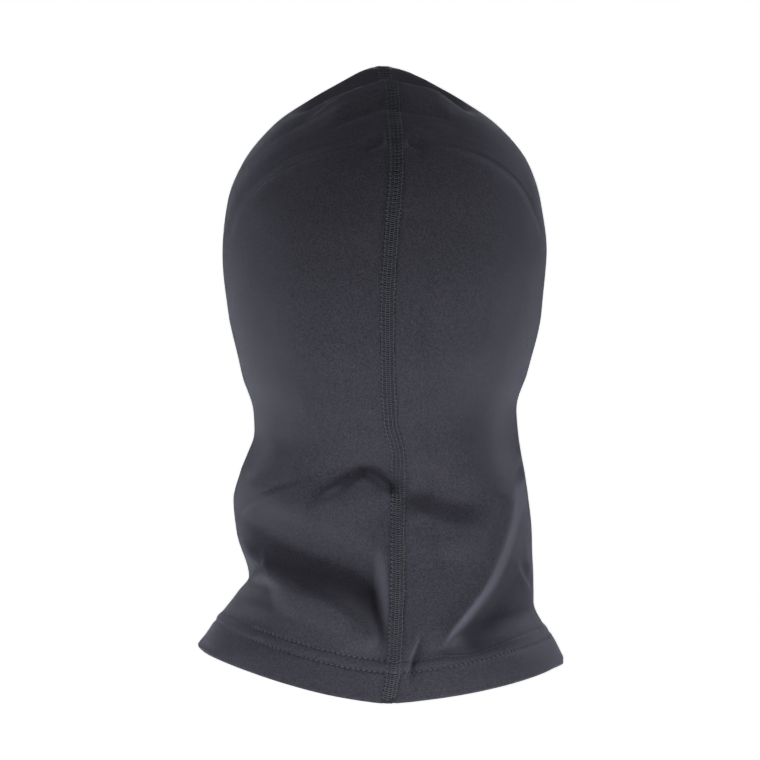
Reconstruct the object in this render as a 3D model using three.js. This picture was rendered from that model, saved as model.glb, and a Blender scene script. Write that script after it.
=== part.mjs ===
// A one-piece balaclava of stretch knit, open at the face and at the neck, as it stands on a head.
// Two mirrored half panels meet in a flatlock seam that runs from the back of the hem, up the nape and over
// the crown to the face opening, and in a second seam from the face opening over the chin to the hem.
// Millimetres. +Z is up, -Y is the side the face looks to, +X is the wearer's left.
// The origin is the point inside the crown that rests on the top of the wearer's head.
import * as THREE from "three";

// ---- driving dimensions -------------------------------------------------------------------------
const CROWN_TOP = 11; // the peak of the crown, above the head that it rests on
const FABRIC = 1.2; // thickness of the knit
const SEAM_GAP = 0.3; // between the butted edges of the two panels
const CLEAR = 0.3; // between a piece and what it lies on
const THREAD = { thick: 0.3, wide: 0.6 }; // a sewing thread, pressed flat
const THREAD_CLEAR = 0.2; // between a thread and what it lies on

const HEM_BACK_Z = -312; // lowest point of the hem, at the centre of the back
const HEM_FRONT_Z = -306; // the hem at the throat
const HEM_RISE = { left: 21, right: 14 }; // how far the hem climbs over each shoulder
const HEM_ROWS = [16.6, 23]; // the two rows of hem stitching, above the fold
const HEM_MARGIN = 1.5; // of the layer folded up inside, over the upper row of stitches
const FOLD_RADIUS = 0.8; // middle of the fabric, at the hem's fold

const OPENING_TOP_Z = -80; // face opening: on the forehead
const OPENING_BOTTOM_Z = -168; // and on the upper lip
const BOW_END = 0.5; // the ring, as a share of the back seam, from which the rings are straight
const OPENING_BOW = 37; // how far the opening's sides lie behind its top and bottom
const BINDING_WIDTH = 9; // the folded strip round the face opening
const BINDING_THICKNESS = 0.8;

const BINDING_ROWS = [2.4, 7]; // the two rows of stitching on it, from its folded edge
const BARTACK = { from: 1, to: 8, wide: 2, thick: 0.4 }; // across the binding where its ends meet

const FLATLOCK_NEEDLES = [-3, -1, 1, 3]; // rows of the flatlock, across the seam
const SEAM_ZONE = 4; // half width of the flat strip that the flatlock lies on
const FLATLOCK_STOP = 1.5; // bare seam between the flatlock and the face binding
const FLATLOCK_START = 2; // bare seam between the flatlock and the hem's fold
const CROSSINGS_PER_ROW = { back: 2, chin: 1 }; // of the zigzag threads, in each ring of facets

const LABEL = { width: 26, height: 36, leaf: 0.35, clear: 0.9, beside: 9, above: 80 };

// ---- outlines of the form, as [height, value] ------------------------------------------------------
const BACK_Y = [
  [11, -18], [5, 20], [-7, 46], [-25, 69], [-47, 86], [-72, 96], [-100, 100.5], [-128, 97], [-155, 87],
  [-178, 77], [-196, 73], [-215, 75], [-245, 82], [-280, 93], [-312, 103],
];
const FRONT_Y = [
  [11, -18], [5, -47], [-7, -65], [-25, -80], [-47, -91], [-80, -99], [-125, -103], [-168, -109],
  [-195, -106], [-215, -100], [-232, -91], [-248, -77], [-262, -67], [-275, -68], [-290, -77], [-312, -93],
];
const WIDEST_Y = [[11, -18], [-20, 2], [-80, 6], [-312, 4]];
const LEFT_X = [
  [11, 1], [4, 22.5], [-6.4, 41.5], [-16.7, 57.5], [-37.5, 74.5], [-58, 82], [-84, 84.3], [-115, 81],
  [-146, 73.8], [-167, 67.8], [-177, 67.3], [-198, 74.3], [-213, 78], [-229, 76.9], [-252, 70.3],
  [-271, 83], [-291, 98], [-312, 110],
];
const RIGHT_X = [
  [11, 1], [4, 21], [-6.4, 39], [-16.7, 54], [-37.5, 72], [-58, 80], [-84, 83.7], [-115, 81],
  [-146, 73.8], [-164, 68.2], [-177, 68.5], [-198, 71.3], [-229, 75.3], [-265, 76], [-276, 81.5],
  [-298, 93.5], [-312, 99],
];
const ROUNDNESS_BACK = [[11, 1.35], [-50, 2.3], [-312, 2.1]]; // exponent of the sections' rear half
const ROUNDNESS_FRONT = [[11, 1.35], [-60, 2.2], [-150, 2], [-215, 1.75], [-262, 2], [-312, 2.1]];
const SEAM_X = [
  [11, 1], [5, -3], [-6, -4.7], [-32, -6.5], [-74, -3.4], [-110, -1.6], [-136, -1.8], [-167, -3.1],
  [-186, -7.2], [-245, -7], [-291, -5.2], [-312, -2],
]; // the sewn seam wanders to the side
// Share of the chin seam passed, for each share of the back seam, both counted from the hem.
const FRONT_SHARE = [
  [0, 0], [0.05, 0.15], [0.25, 0.25], [0.4, 0.33], [0.55, 0.45], [0.7, 0.63], [0.85, 0.82], [1, 1],
];

// ---- resolution -----------------------------------------------------------------------------------
const BODY_ROWS = 26; // rings of facets between the hem stitching and the face opening
const PANEL_COLUMNS = 14; // facets round each half
const COLUMN_DRIFT = 0.12; // towards even spacing, per ring
const RING_SAMPLES = 240;

// A smooth curve through [x, y] points that never overshoots them (Fritsch-Carlson).
function throughPoints(points) {
  const xs = points.map((p) => p[0]);
  const ys = points.map((p) => p[1]);
  const last = xs.length - 1;
  const slopes = xs.slice(0, last).map((x, i) => (ys[i + 1] - ys[i]) / (xs[i + 1] - x));
  const tangents = xs.map((_, i) => {
    if (i === 0) return slopes[0];
    if (i === last) return slopes[last - 1];
    if (slopes[i - 1] * slopes[i] <= 0) return 0;
    return (2 * slopes[i - 1] * slopes[i]) / (slopes[i - 1] + slopes[i]);
  });
  return (x) => {
    if (x <= xs[0]) return ys[0];
    if (x >= xs[last]) return ys[last];
    const i = xs.findIndex((v) => v > x) - 1;
    const h = xs[i + 1] - xs[i];
    const t = (x - xs[i]) / h;
    const rise = ys[i + 1] - ys[i];
    const a = h * tangents[i];
    const b = h * tangents[i + 1];
    return ys[i] + t * (a + t * (3 * rise - 2 * a - b + t * (a + b - 2 * rise)));
  };
}

// An outline by height. Its variable is the root of the depth below the peak, so the crown closes roundly.
function outline(points) {
  const curve = throughPoints(points.map(([z, value]) => [Math.sqrt(CROWN_TOP - z), value]));
  return (z) => curve(Math.sqrt(Math.max(0, CROWN_TOP - z)));
}

const backY = outline(BACK_Y);
const frontY = outline(FRONT_Y);
const widestY = outline(WIDEST_Y);
const halfWidth = { left: outline(LEFT_X), right: outline(RIGHT_X) };
const roundnessBack = outline(ROUNDNESS_BACK);
const roundnessFront = outline(ROUNDNESS_FRONT);
const seamX = outline(SEAM_X);
const frontShare = throughPoints(FRONT_SHARE);

// How far the form reaches sideways at a point (y, z) of its middle plane.
function reach(side, y, z) {
  const middle = widestY(z);
  const behind = y > middle;
  const depth = behind ? backY(z) - middle : middle - frontY(z);
  const power = behind ? roundnessBack(z) : roundnessFront(z);
  const share = Math.min(1, Math.abs(y - middle) / Math.max(depth, 1e-6));
  return halfWidth[side](z) * (1 - share ** power) ** (1 / power);
}

// A line in the middle plane with points found by their share of its length.
function measured(points) {
  const along = [0];
  points.slice(1).forEach((p, i) => along.push(along[i] + p.distanceTo(points[i])));
  const length = along[along.length - 1];
  const at = (share) => {
    const wanted = Math.min(1, Math.max(0, share)) * length;
    const i = Math.min(points.length - 2, Math.max(0, along.findIndex((a) => a >= wanted) - 1));
    const span = Math.max(along[i + 1] - along[i], 1e-9);
    return points[i].clone().lerp(points[i + 1], (wanted - along[i]) / span);
  };
  return { length, at };
}

// The profile between two heights, as points (y, z).
function profileLine(y, fromZ, toZ, samples = 400) {
  const from = Math.sqrt(CROWN_TOP - fromZ);
  const to = Math.sqrt(CROWN_TOP - toZ);
  return Array.from({ length: samples + 1 }, (_, i) => {
    const z = CROWN_TOP - (from + ((to - from) * i) / samples) ** 2;
    return new THREE.Vector2(y(z), z);
  });
}

const backSeam = measured([
  ...profileLine(backY, HEM_BACK_Z, CROWN_TOP),
  ...profileLine(frontY, CROWN_TOP, OPENING_TOP_Z).slice(1),
]);
const chinSeam = measured(profileLine(frontY, HEM_FRONT_Z, OPENING_BOTTOM_Z));

const smooth = (x, from, to) => THREE.MathUtils.smoothstep(x, from, to);

// How far the middle of a ring bows back from the straight line between the seams.
// From the face opening back to the ring at BOW_END the rings' middles are evenly spaced.
function ringBow(v) {
  const straight = (share) => (backSeam.at(share).x + chinSeam.at(frontShare(share)).x) / 2;
  const share = Math.max(0, (v - BOW_END) / (1 - BOW_END));
  const bowed = THREE.MathUtils.lerp(straight(BOW_END), straight(1) + OPENING_BOW, share);
  return share > 0 ? bowed - straight(v) : 0;
}

// Half a ring round the form, from the back seam (at share 0) to the chin seam (at share 1).
// v is the share of the back seam below the ring: 0 is the hem, and 1 is the face opening.
function ringPoints(side, v) {
  const back = backSeam.at(v);
  const front = chinSeam.at(frontShare(v));
  const bow = ringBow(v);
  const rise = HEM_RISE[side] * (1 - smooth(v, 0.03, 0.3));
  const sign = side === "left" ? 1 : -1;
  return Array.from({ length: RING_SAMPLES + 1 }, (_, i) => {
    const s = Math.cos((Math.PI * i) / RING_SAMPLES);
    const swell = Math.max(0, 1 - s * s);
    const y = THREE.MathUtils.lerp(front.x, back.x, (1 + s) / 2) + bow * swell;
    const z = THREE.MathUtils.lerp(front.y, back.y, (1 + s) / 2) + rise * swell ** 0.7;
    const ended = i === 0 || i === RING_SAMPLES;
    const x = ended ? 0 : reach(side, y, z);
    const towardsBack = (1 + s) / 2;
    return new THREE.Vector3(sign * (SEAM_GAP / 2 + x) + seamX(z) * towardsBack ** 4, y, z);
  });
}

// The share of a measured line that lies nearest to a point.
function nearestShare(line, point) {
  const shares = Array.from({ length: RING_SAMPLES + 1 }, (_, i) => i / RING_SAMPLES);
  const distance = (share) => line.at(share).distanceTo(point);
  return shares.reduce((best, share) => (distance(share) < distance(best) ? share : best));
}

// The shares of each ring at which the facets' columns stand: a flat strip for each seam, and steps between.
// Downwards from the face opening a column starts square to its edge, and drifts to even spacing.
function panelColumns(rings) {
  const even = rings.map(({ length }) => {
    const edge = SEAM_ZONE / length;
    const step = (1 - 2 * edge) / PANEL_COLUMNS;
    return [0, ...Array.from({ length: PANEL_COLUMNS + 1 }, (_, i) => edge + step * i), 1];
  });
  return even.reduceRight((above, shares, r) => {
    const square = (c) => nearestShare(rings[r], rings[r + 1].at(above[0][c]));
    const free = (c) => above.length > 0 && c > 1 && c <= PANEL_COLUMNS;
    const drift = (share, c) => (free(c) ? THREE.MathUtils.lerp(square(c), share, COLUMN_DRIFT) : share);
    return [shares.map(drift), ...above];
  }, []);
}

// A grid of { p, n }: points of the form and its outward normals, a row for each share v.
function surfaceGrid(side, rowShares, columnsOf = panelColumns) {
  const rings = rowShares.map((v) => measured(ringPoints(side, v)));
  const shares = columnsOf(rings);
  const points = rings.map((ring, r) => shares[r].map((share) => ring.at(share)));
  const outward = side === "left" ? -1 : 1;
  return points.map((row, r) =>
    row.map((p, c) => {
      const below = points[Math.max(0, r - 1)];
      const above = points[Math.min(points.length - 1, r + 1)];
      const across = row[Math.min(row.length - 1, c + 1)].clone().sub(row[Math.max(0, c - 1)]);
      const along = above[c].clone().sub(below[c]);
      const n = across.cross(along).multiplyScalar(outward);
      // Both panels turn the same way at a seam, so that their edges stay parallel.
      if (shares[r][c] === 0 || shares[r][c] === 1) n.x = 0;
      return { p, n: n.normalize() };
    }),
  );
}

const HEM_ROW_SHARES = HEM_ROWS.map((height) => height / backSeam.length);
const BODY_START = HEM_ROW_SHARES[HEM_ROW_SHARES.length - 1];
const BODY_STEP = (1 - BODY_START) / BODY_ROWS;
const ROW_SHARES = [
  0,
  ...HEM_ROW_SHARES,
  ...Array.from({ length: BODY_ROWS }, (_, i) => BODY_START + BODY_STEP * (i + 1)),
];
const grids = { left: surfaceGrid("left", ROW_SHARES), right: surfaceGrid("right", ROW_SHARES) };
const LAST_ROW = ROW_SHARES.length - 1;
const LAST_COLUMN = PANEL_COLUMNS + 2;
const COLUMNS = Array.from({ length: LAST_COLUMN + 1 }, (_, c) => c);

const lifted = ({ p, n }, height) => p.clone().addScaledVector(n, height);
const between = (a, b, t) => ({ p: a.p.clone().lerp(b.p, t), n: a.n.clone().lerp(b.n, t).normalize() });

// ---- closed solids --------------------------------------------------------------------------------
// A geometry with its faces turned outwards.
function facingOut(positions, index) {
  const corner = (i) => new THREE.Vector3().fromArray(positions, 3 * index[i]);
  let volume = 0;
  for (let i = 0; i < index.length; i += 3) {
    volume += corner(i).dot(corner(i + 1).cross(corner(i + 2)));
  }
  const faces = [];
  for (let i = 0; i < index.length; i += 3) {
    const [a, b, c] = index.slice(i, i + 3);
    faces.push(...(volume < 0 ? [a, c, b] : [a, b, c]));
  }
  const geometry = new THREE.BufferGeometry();
  geometry.setAttribute("position", new THREE.Float32BufferAttribute(positions, 3));
  geometry.setIndex(faces);
  geometry.computeVertexNormals();
  return geometry;
}

// A closed solid between two matching grids of points. With wrap, the last column joins the first.
function thickSheet(outer, inner, wrap = false) {
  const rows = outer.length;
  const columns = outer[0].length;
  const positions = [...outer.flat(), ...inner.flat()].flatMap((p) => p.toArray());
  const at = (layer, r, c) => (layer * rows + r) * columns + (c % columns);
  const index = [];
  const quad = (a, b, c, d) => index.push(a, b, c, a, c, d);
  const top = rows - 1;
  for (let c = 0; c < (wrap ? columns : columns - 1); c += 1) {
    for (let r = 0; r < top; r += 1) {
      quad(at(0, r, c), at(0, r, c + 1), at(0, r + 1, c + 1), at(0, r + 1, c));
      quad(at(1, r, c), at(1, r + 1, c), at(1, r + 1, c + 1), at(1, r, c + 1));
    }
    quad(at(0, 0, c), at(1, 0, c), at(1, 0, c + 1), at(0, 0, c + 1));
    quad(at(0, top, c), at(0, top, c + 1), at(1, top, c + 1), at(1, top, c));
  }
  const end = columns - 1;
  for (let r = 0; !wrap && r < top; r += 1) {
    quad(at(0, r, 0), at(0, r + 1, 0), at(1, r + 1, 0), at(1, r, 0));
    quad(at(0, r, end), at(1, r, end), at(1, r + 1, end), at(0, r + 1, end));
  }
  return facingOut(positions, index);
}

// Two matching grids made of one list of rows, each { outer: [points], inner: [points] }.
const sheetOfRows = (rows, wrap) => thickSheet(rows.map((r) => r.outer), rows.map((r) => r.inner), wrap);

// The rows of a half-round fold. Each column turns about its centre, from the outside round to the inside.
function foldRows(columns, innerRadius, outerRadius, steps) {
  const point = ({ centre, n, away }, radius, turn) => {
    const across = n.clone().multiplyScalar(Math.cos(turn));
    return across.addScaledVector(away, Math.sin(turn)).multiplyScalar(radius).add(centre);
  };
  return Array.from({ length: steps + 1 }, (_, i) => {
    const turn = (Math.PI * i) / steps;
    return {
      outer: columns.map((column) => point(column, outerRadius, turn)),
      inner: columns.map((column) => point(column, innerRadius, turn)),
    };
  });
}

// A thread along { p, n, height } stations; height is that of its underside above the form.
function thread(stations, { closed = false, wide = THREAD.wide, thick = THREAD.thick } = {}) {
  const count = stations.length;
  const neighbour = (i) => stations[closed ? (i + count) % count : Math.min(count - 1, Math.max(0, i))];
  const sides = stations.map((station, i) =>
    neighbour(i + 1).p.clone().sub(neighbour(i - 1).p).cross(station.n).setLength(wide / 2),
  );
  const layer = (extra) => [-1, 1].map((hand) =>
    stations.map((station, i) => lifted(station, station.height + extra).addScaledVector(sides[i], hand)),
  );
  return thickSheet(layer(thick), layer(0), closed);
}

// ---- fabric ---------------------------------------------------------------------------------------
// A half panel of knit, with its lower edge folded up inside as far as the upper row of hem stitches.
function panel(side) {
  const grid = grids[side];
  const foldColumns = grid[0].map((station, c) => {
    const away = station.p.clone().sub(grid[1][c].p).normalize();
    const inwards = -FABRIC / 2 - FOLD_RADIUS;
    return { centre: lifted(station, inwards).addScaledVector(away, inwards), n: station.n, away };
  });
  const edge = HEM_MARGIN / (BODY_STEP * backSeam.length);
  const turnUp = [grid[1], grid[2], grid[2].map((station, c) => between(station, grid[3][c], edge))];
  return sheetOfRows([
    ...grid.slice(1).reverse().map((row) => ({
      outer: row.map((station) => station.p),
      inner: row.map((station) => lifted(station, -FABRIC)),
    })),
    ...foldRows(foldColumns, FOLD_RADIUS - FABRIC / 2, FOLD_RADIUS + FABRIC / 2, 4),
    ...turnUp.map((row) => ({
      outer: row.map((station) => lifted(station, -FABRIC - 2 * FOLD_RADIUS)),
      inner: row.map((station) => lifted(station, -2 * FOLD_RADIUS)),
    })),
  ]);
}

// The place on a panel down one of its columns of facets, at a distance from the face opening.
function belowOpening(side, column, distance) {
  const grid = grids[side];
  const edge = grid[LAST_ROW];
  const down = (r) => grid[r - 1][column].p.clone().sub(grid[r][column].p);
  const along = edge[Math.min(LAST_COLUMN, column + 1)].p.clone().sub(edge[Math.max(0, column - 1)].p);
  let left = distance / Math.sin(along.angleTo(down(LAST_ROW)));
  let row = LAST_ROW;
  while (row > 1 && left > down(row).length()) {
    left -= down(row).length();
    row -= 1;
  }
  const fall = left / down(row).length();
  return { row: row - fall, ...between(grid[row][column], grid[row - 1][column], fall) };
}

// Every column of both panels, once round the face opening, at a distance from its edge.
const roundOpening = (distance) => [
  ...COLUMNS.map((c) => belowOpening("left", c, distance)),
  ...COLUMNS.toReversed().map((c) => belowOpening("right", c, distance)),
];

// The folded strip that closes the panels' edges round the face opening.
function faceBinding() {
  const edge = roundOpening(0);
  const legs = [BINDING_WIDTH, BINDING_WIDTH / 2].map(roundOpening);
  const inside = FABRIC + CLEAR;
  const foldColumns = edge.map((station, c) => {
    const along = edge[(c + 1) % edge.length].p.clone().sub(edge.at(c - 1).p);
    const away = along.cross(station.n).normalize();
    if (away.dot(legs[1][c].p.clone().sub(station.p)) > 0) away.negate();
    return { centre: lifted(station, -FABRIC / 2), n: station.n, away };
  });
  const innerRadius = FABRIC / 2 + CLEAR;
  const leg = (row, low, high) => ({
    outer: row.map((station) => lifted(station, high)),
    inner: row.map((station) => lifted(station, low)),
  });
  return sheetOfRows([
    ...legs.map((row) => leg(row, CLEAR, CLEAR + BINDING_THICKNESS)),
    ...foldRows(foldColumns, innerRadius, innerRadius + BINDING_THICKNESS, 4),
    ...legs.toReversed().map((row) => leg(row, -inside, -inside - BINDING_THICKNESS)),
  ], true);
}

// The folded label inside the nape, beside the seam: two leaves that hang from one row of stitches.
function careLabelRows() {
  const heights = [LABEL.above - LABEL.height, LABEL.above - LABEL.height / 2, LABEL.above];
  const across = [0, 1, 2, 3].map((i) => LABEL.beside + (LABEL.width * i) / 3);
  const columnsOf = (rings) => rings.map(({ length }) => across.map((distance) => distance / length));
  return surfaceGrid("left", heights.map((height) => height / backSeam.length), columnsOf).reverse();
}

function careLabel() {
  const rows = careLabelRows();
  const near = FABRIC + LABEL.clear;
  const gap = CLEAR / 2; // half the space between the leaves
  const centreDepth = near + LABEL.leaf + gap;
  const foldColumns = rows[2].map((station, c) => ({
    centre: lifted(station, -centreDepth),
    n: station.n,
    away: station.p.clone().sub(rows[1][c].p).normalize(),
  }));
  const leaf = (row, from, to) => ({
    outer: row.map((station) => lifted(station, -from)),
    inner: row.map((station) => lifted(station, -to)),
  });
  return sheetOfRows([
    ...rows.slice(0, 2).map((row) => leaf(row, near, near + LABEL.leaf)),
    ...foldRows(foldColumns, gap, gap + LABEL.leaf, 3),
    ...rows.slice(0, 2).toReversed().map((row) =>
      leaf(row, centreDepth + gap + LABEL.leaf, centreDepth + gap)),
  ]);
}

function careLabelStitch() {
  const [top, below] = careLabelRows();
  const height = -FABRIC - LABEL.clear - 2 * LABEL.leaf - CLEAR - THREAD_CLEAR - THREAD.thick;
  return thread(top.map((station, c) => ({ ...between(station, below[c], 0.12), height })));
}

// ---- seams ----------------------------------------------------------------------------------------
const LOW = THREAD_CLEAR; // a thread on bare fabric
const HIGH = LOW + THREAD.thick + THREAD_CLEAR; // a thread that lies on another
const HIGHEST = HIGH + THREAD.thick + THREAD_CLEAR;
const INSIDE = -FABRIC - THREAD_CLEAR - THREAD.thick; // a thread on the inner face
const HEM_INSIDE = INSIDE - 2 * FOLD_RADIUS; // and on the layer folded up inside the hem

// The place at a distance to the left (+) or right (-) of a seam. row counts rings of facets from the hem.
function besideSeam(seam, row, offset, height) {
  const [edge, next] = seam === "back" ? [0, 1] : [LAST_COLUMN, LAST_COLUMN - 1];
  const share = Math.abs(offset) / SEAM_ZONE;
  const onRow = (r) => {
    if (offset === 0) return between(grids.left[r][edge], grids.right[r][edge], 0.5);
    const grid = offset > 0 ? grids.left : grids.right;
    return between(grid[r][edge], grid[r][next], share);
  };
  const whole = Math.min(LAST_ROW - 1, Math.floor(row));
  return { ...between(onRow(whole), onRow(whole + 1), row - whole), height };
}

// The rings of facets that a flatlock covers, from the hem's fold to the face binding.
function flatlockSpan(seam) {
  const column = seam === "back" ? 0 : LAST_COLUMN;
  return {
    from: FLATLOCK_START / HEM_ROWS[0],
    to: belowOpening("left", column, BINDING_WIDTH + FLATLOCK_STOP).row,
  };
}

// The ring positions from one to another, with every ring of facets between them.
function ringsBetween(from, to) {
  const inner = ROW_SHARES.map((_, r) => r).filter((r) => r > from && r < to);
  return [from, ...inner, to];
}

function needleThread(seam, offset) {
  const { from, to } = flatlockSpan(seam);
  return thread(ringsBetween(from, to).map((row) => besideSeam(seam, row, offset, HIGH)));
}

// A thread that crosses from side to side of a seam as it runs along it.
function zigzagThread(seam, height, from, to) {
  const rings = ringsBetween(from, to);
  const steps = 2 * CROSSINGS_PER_ROW[seam];
  const rows = rings.slice(1).flatMap((upper, i) =>
    Array.from({ length: steps }, (_, k) => THREE.MathUtils.lerp(rings[i], upper, (k + 1) / steps)));
  const reachAcross = FLATLOCK_NEEDLES[FLATLOCK_NEEDLES.length - 1];
  const sway = [reachAcross, 0, -reachAcross, 0];
  return thread([from, ...rows].map((row, i) => besideSeam(seam, row, sway[i % 4], height)));
}

// Stations once round the hem on one of its rows of stitching. Over a seam the thread rides up.
function roundHem(row, low, high) {
  const half = (side) => {
    const line = grids[side][row];
    const beside = (edge, next) => ({ ...between(line[edge], line[next], 0.25), height: low });
    return [
      ...[0, 1].map((c) => ({ ...line[c], height: high })),
      beside(1, 2),
      ...COLUMNS.slice(2, -2).map((c) => ({ ...line[c], height: low })),
      beside(LAST_COLUMN - 1, LAST_COLUMN - 2),
      ...[1, 0].map((c) => ({ ...line[LAST_COLUMN - c], height: high })),
    ];
  };
  return [...half("left"), ...half("right").reverse()];
}

// A closed zigzag between two matching closed lines of stations, with a crossing and back for each station.
function closedZigzag(first, second) {
  const count = first.length;
  const turn = (line, i, t) => ({
    ...between(line[i], line[(i + 1) % count], t),
    height: THREE.MathUtils.lerp(line[i].height, line[(i + 1) % count].height, t),
  });
  return thread(first.flatMap((_, i) => [first[i], turn(second, i, 0.5)]), { closed: true });
}

const bindingStations = (height) =>
  BINDING_ROWS.map((distance) => roundOpening(distance).map((station) => ({ ...station, height })));
const ON_BINDING = CLEAR + BINDING_THICKNESS + THREAD_CLEAR;

function bindingBartack() {
  const along = [BARTACK.from, (BARTACK.from + BARTACK.to) / 2, BARTACK.to];
  const height = ON_BINDING + THREAD.thick + THREAD_CLEAR;
  const stations = along.map((distance) => {
    const [left, right] = ["left", "right"].map((side) => belowOpening(side, LAST_COLUMN, distance));
    return { ...between(left, right, 0.5), height };
  });
  return thread(stations, BARTACK);
}

// ---- the assembly ---------------------------------------------------------------------------------
const knit = new THREE.MeshStandardMaterial({ color: 0x3b3b44, roughness: 0.92, metalness: 0 });
const sewing = new THREE.MeshStandardMaterial({ color: 0x31323a, roughness: 0.7, metalness: 0 });
const elastane = new THREE.MeshStandardMaterial({ color: 0x33343c, roughness: 0.85, metalness: 0 });
const satin = new THREE.MeshStandardMaterial({ color: 0xd8d8d4, roughness: 0.6, metalness: 0 });

const balaclava = new THREE.Group();
balaclava.name = "balaclava";

function add(name, geometry, material) {
  const mesh = new THREE.Mesh(geometry, material);
  mesh.name = name;
  balaclava.add(mesh);
}

add("left_panel", panel("left"), knit);
add("right_panel", panel("right"), knit);
add("face_binding", faceBinding(), elastane);

for (const seam of ["back", "chin"]) {
  const { from, to } = flatlockSpan(seam);
  const aboveHem = 2 + FLATLOCK_STOP / HEM_ROWS[0]; // the inside thread starts over the hem's upper row
  FLATLOCK_NEEDLES.forEach((offset, i) => {
    add(`${seam}_seam_needle_thread_${i + 1}`, needleThread(seam, offset), sewing);
  });
  add(`${seam}_seam_cover_thread`, zigzagThread(seam, LOW, from, to), sewing);
  add(`${seam}_seam_looper_thread`, zigzagThread(seam, INSIDE, aboveHem, to), sewing);
}

add("hem_needle_thread_lower", thread(roundHem(1, LOW, HIGHEST), { closed: true }), sewing);
add("hem_needle_thread_upper", thread(roundHem(2, LOW, HIGHEST), { closed: true }), sewing);
add("hem_looper_thread", closedZigzag(
  roundHem(1, HEM_INSIDE, HEM_INSIDE),
  roundHem(2, HEM_INSIDE, HEM_INSIDE),
), sewing);

const [nearRow, farRow] = bindingStations(ON_BINDING);
add("binding_needle_thread_edge", thread(nearRow, { closed: true }), sewing);
add("binding_needle_thread_inner", thread(farRow, { closed: true }), sewing);
const underBinding = bindingStations(-FABRIC - ON_BINDING - THREAD.thick);
add("binding_looper_thread", closedZigzag(...underBinding), sewing);
add("binding_bartack", bindingBartack(), sewing);

add("care_label", careLabel(), satin);
add("care_label_stitch", careLabelStitch(), sewing);

export default balaclava;
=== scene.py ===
"""A one-piece balaclava of charcoal stretch knit, as it stands on a head: two half panels, flatlock seams,
a coverstitched hem, a bound face opening and a care label. Metres; the form's own numbers are millimetres."""
import math

import bpy
import numpy as np
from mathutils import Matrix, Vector, noise
from mathutils.bvhtree import BVHTree


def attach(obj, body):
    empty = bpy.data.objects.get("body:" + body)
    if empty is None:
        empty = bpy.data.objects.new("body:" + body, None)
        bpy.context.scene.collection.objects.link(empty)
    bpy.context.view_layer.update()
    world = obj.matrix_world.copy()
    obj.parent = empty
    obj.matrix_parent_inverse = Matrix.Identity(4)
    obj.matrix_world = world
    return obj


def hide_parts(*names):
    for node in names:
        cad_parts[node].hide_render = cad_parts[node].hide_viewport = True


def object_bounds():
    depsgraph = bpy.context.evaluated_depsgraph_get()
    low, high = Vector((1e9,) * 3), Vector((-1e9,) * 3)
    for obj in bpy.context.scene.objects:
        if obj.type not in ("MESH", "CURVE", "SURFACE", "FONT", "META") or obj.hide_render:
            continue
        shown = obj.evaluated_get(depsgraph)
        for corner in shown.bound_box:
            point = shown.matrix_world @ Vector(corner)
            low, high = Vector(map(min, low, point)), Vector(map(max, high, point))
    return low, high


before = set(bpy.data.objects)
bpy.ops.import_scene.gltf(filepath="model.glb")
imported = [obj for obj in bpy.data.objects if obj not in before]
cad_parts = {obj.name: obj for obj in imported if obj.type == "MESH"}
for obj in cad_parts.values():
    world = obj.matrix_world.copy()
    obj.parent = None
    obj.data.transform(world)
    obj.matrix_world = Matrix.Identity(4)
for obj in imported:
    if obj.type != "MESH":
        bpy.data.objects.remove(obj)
cad_box = [list(corner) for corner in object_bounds()]
MM = 0.001

# ---- the camera ----------------------------------------------------------------------------------
CAMERA_DISTANCE = 1.5
CAMERA_ELEVATION = math.radians(3.6)
FRAME_WIDTH = 0.394  # across the picture, which a long lens shows almost without perspective
FRAME_SHIFT = 0.0023  # of the picture's middle towards the wearer's left

camera = bpy.data.objects.new("camera", bpy.data.cameras.new("camera"))
bpy.context.scene.collection.objects.link(camera)
camera.data.type = "ORTHO"
camera.data.ortho_scale = FRAME_WIDTH
camera.data.clip_end = 20
target = Vector((FRAME_SHIFT, 0, (cad_box[0][2] + cad_box[1][2]) / 2))
towards = Vector((0, math.cos(CAMERA_ELEVATION), math.sin(CAMERA_ELEVATION)))
camera.location = target + towards * CAMERA_DISTANCE
camera.rotation_euler = towards.to_track_quat("Z", "Y").to_euler()
bpy.context.scene.camera = camera

# ---- the form, close to the CAD's: driving dimensions and outlines by height, in millimetres -----
CROWN_TOP = 11.0  # the peak of the crown, above the head that it rests on
FABRIC = 1.2  # thickness of the knit
HEM_BACK_Z = -312.0  # the hem at the centre of the back
HEM_FRONT_Z = -306.0  # and at the throat
HEM_RISE = {"left": 21.0, "right": 14.0}  # how far it climbs over each shoulder
HEM_CURVE = 0.66  # how fast it climbs away from its seams: 1 would be a plain ellipse
OPENING_TOP_Z = -80.0  # the face opening, on the forehead
OPENING_BOTTOM_Z = -168.0  # and on the upper lip
OPENING_BOW = 37.0  # how far its sides lie behind its top and bottom
BOW_END = 0.5  # the rings up to this share of the back seam have no bow
SEAM_PULL = 4  # how soon the back seam's wander dies out round the head
BACK_Y = [
    (11, -18), (5, 20), (-7, 46), (-25, 69), (-47, 86), (-72, 96), (-100, 100.5), (-128, 97), (-155, 87),
    (-178, 77), (-196, 73), (-215, 75), (-245, 82), (-280, 93), (-312, 103)]
FRONT_Y = [
    (11, -18), (5, -47), (-7, -65), (-25, -80), (-47, -91), (-80, -99), (-125, -103), (-168, -109),
    (-195, -106), (-215, -100), (-232, -91), (-248, -77), (-262, -67), (-275, -68), (-290, -77), (-312, -93)]
WIDEST_Y = [(11, -18), (-20, 2), (-80, 6), (-312, 4)]
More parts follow.
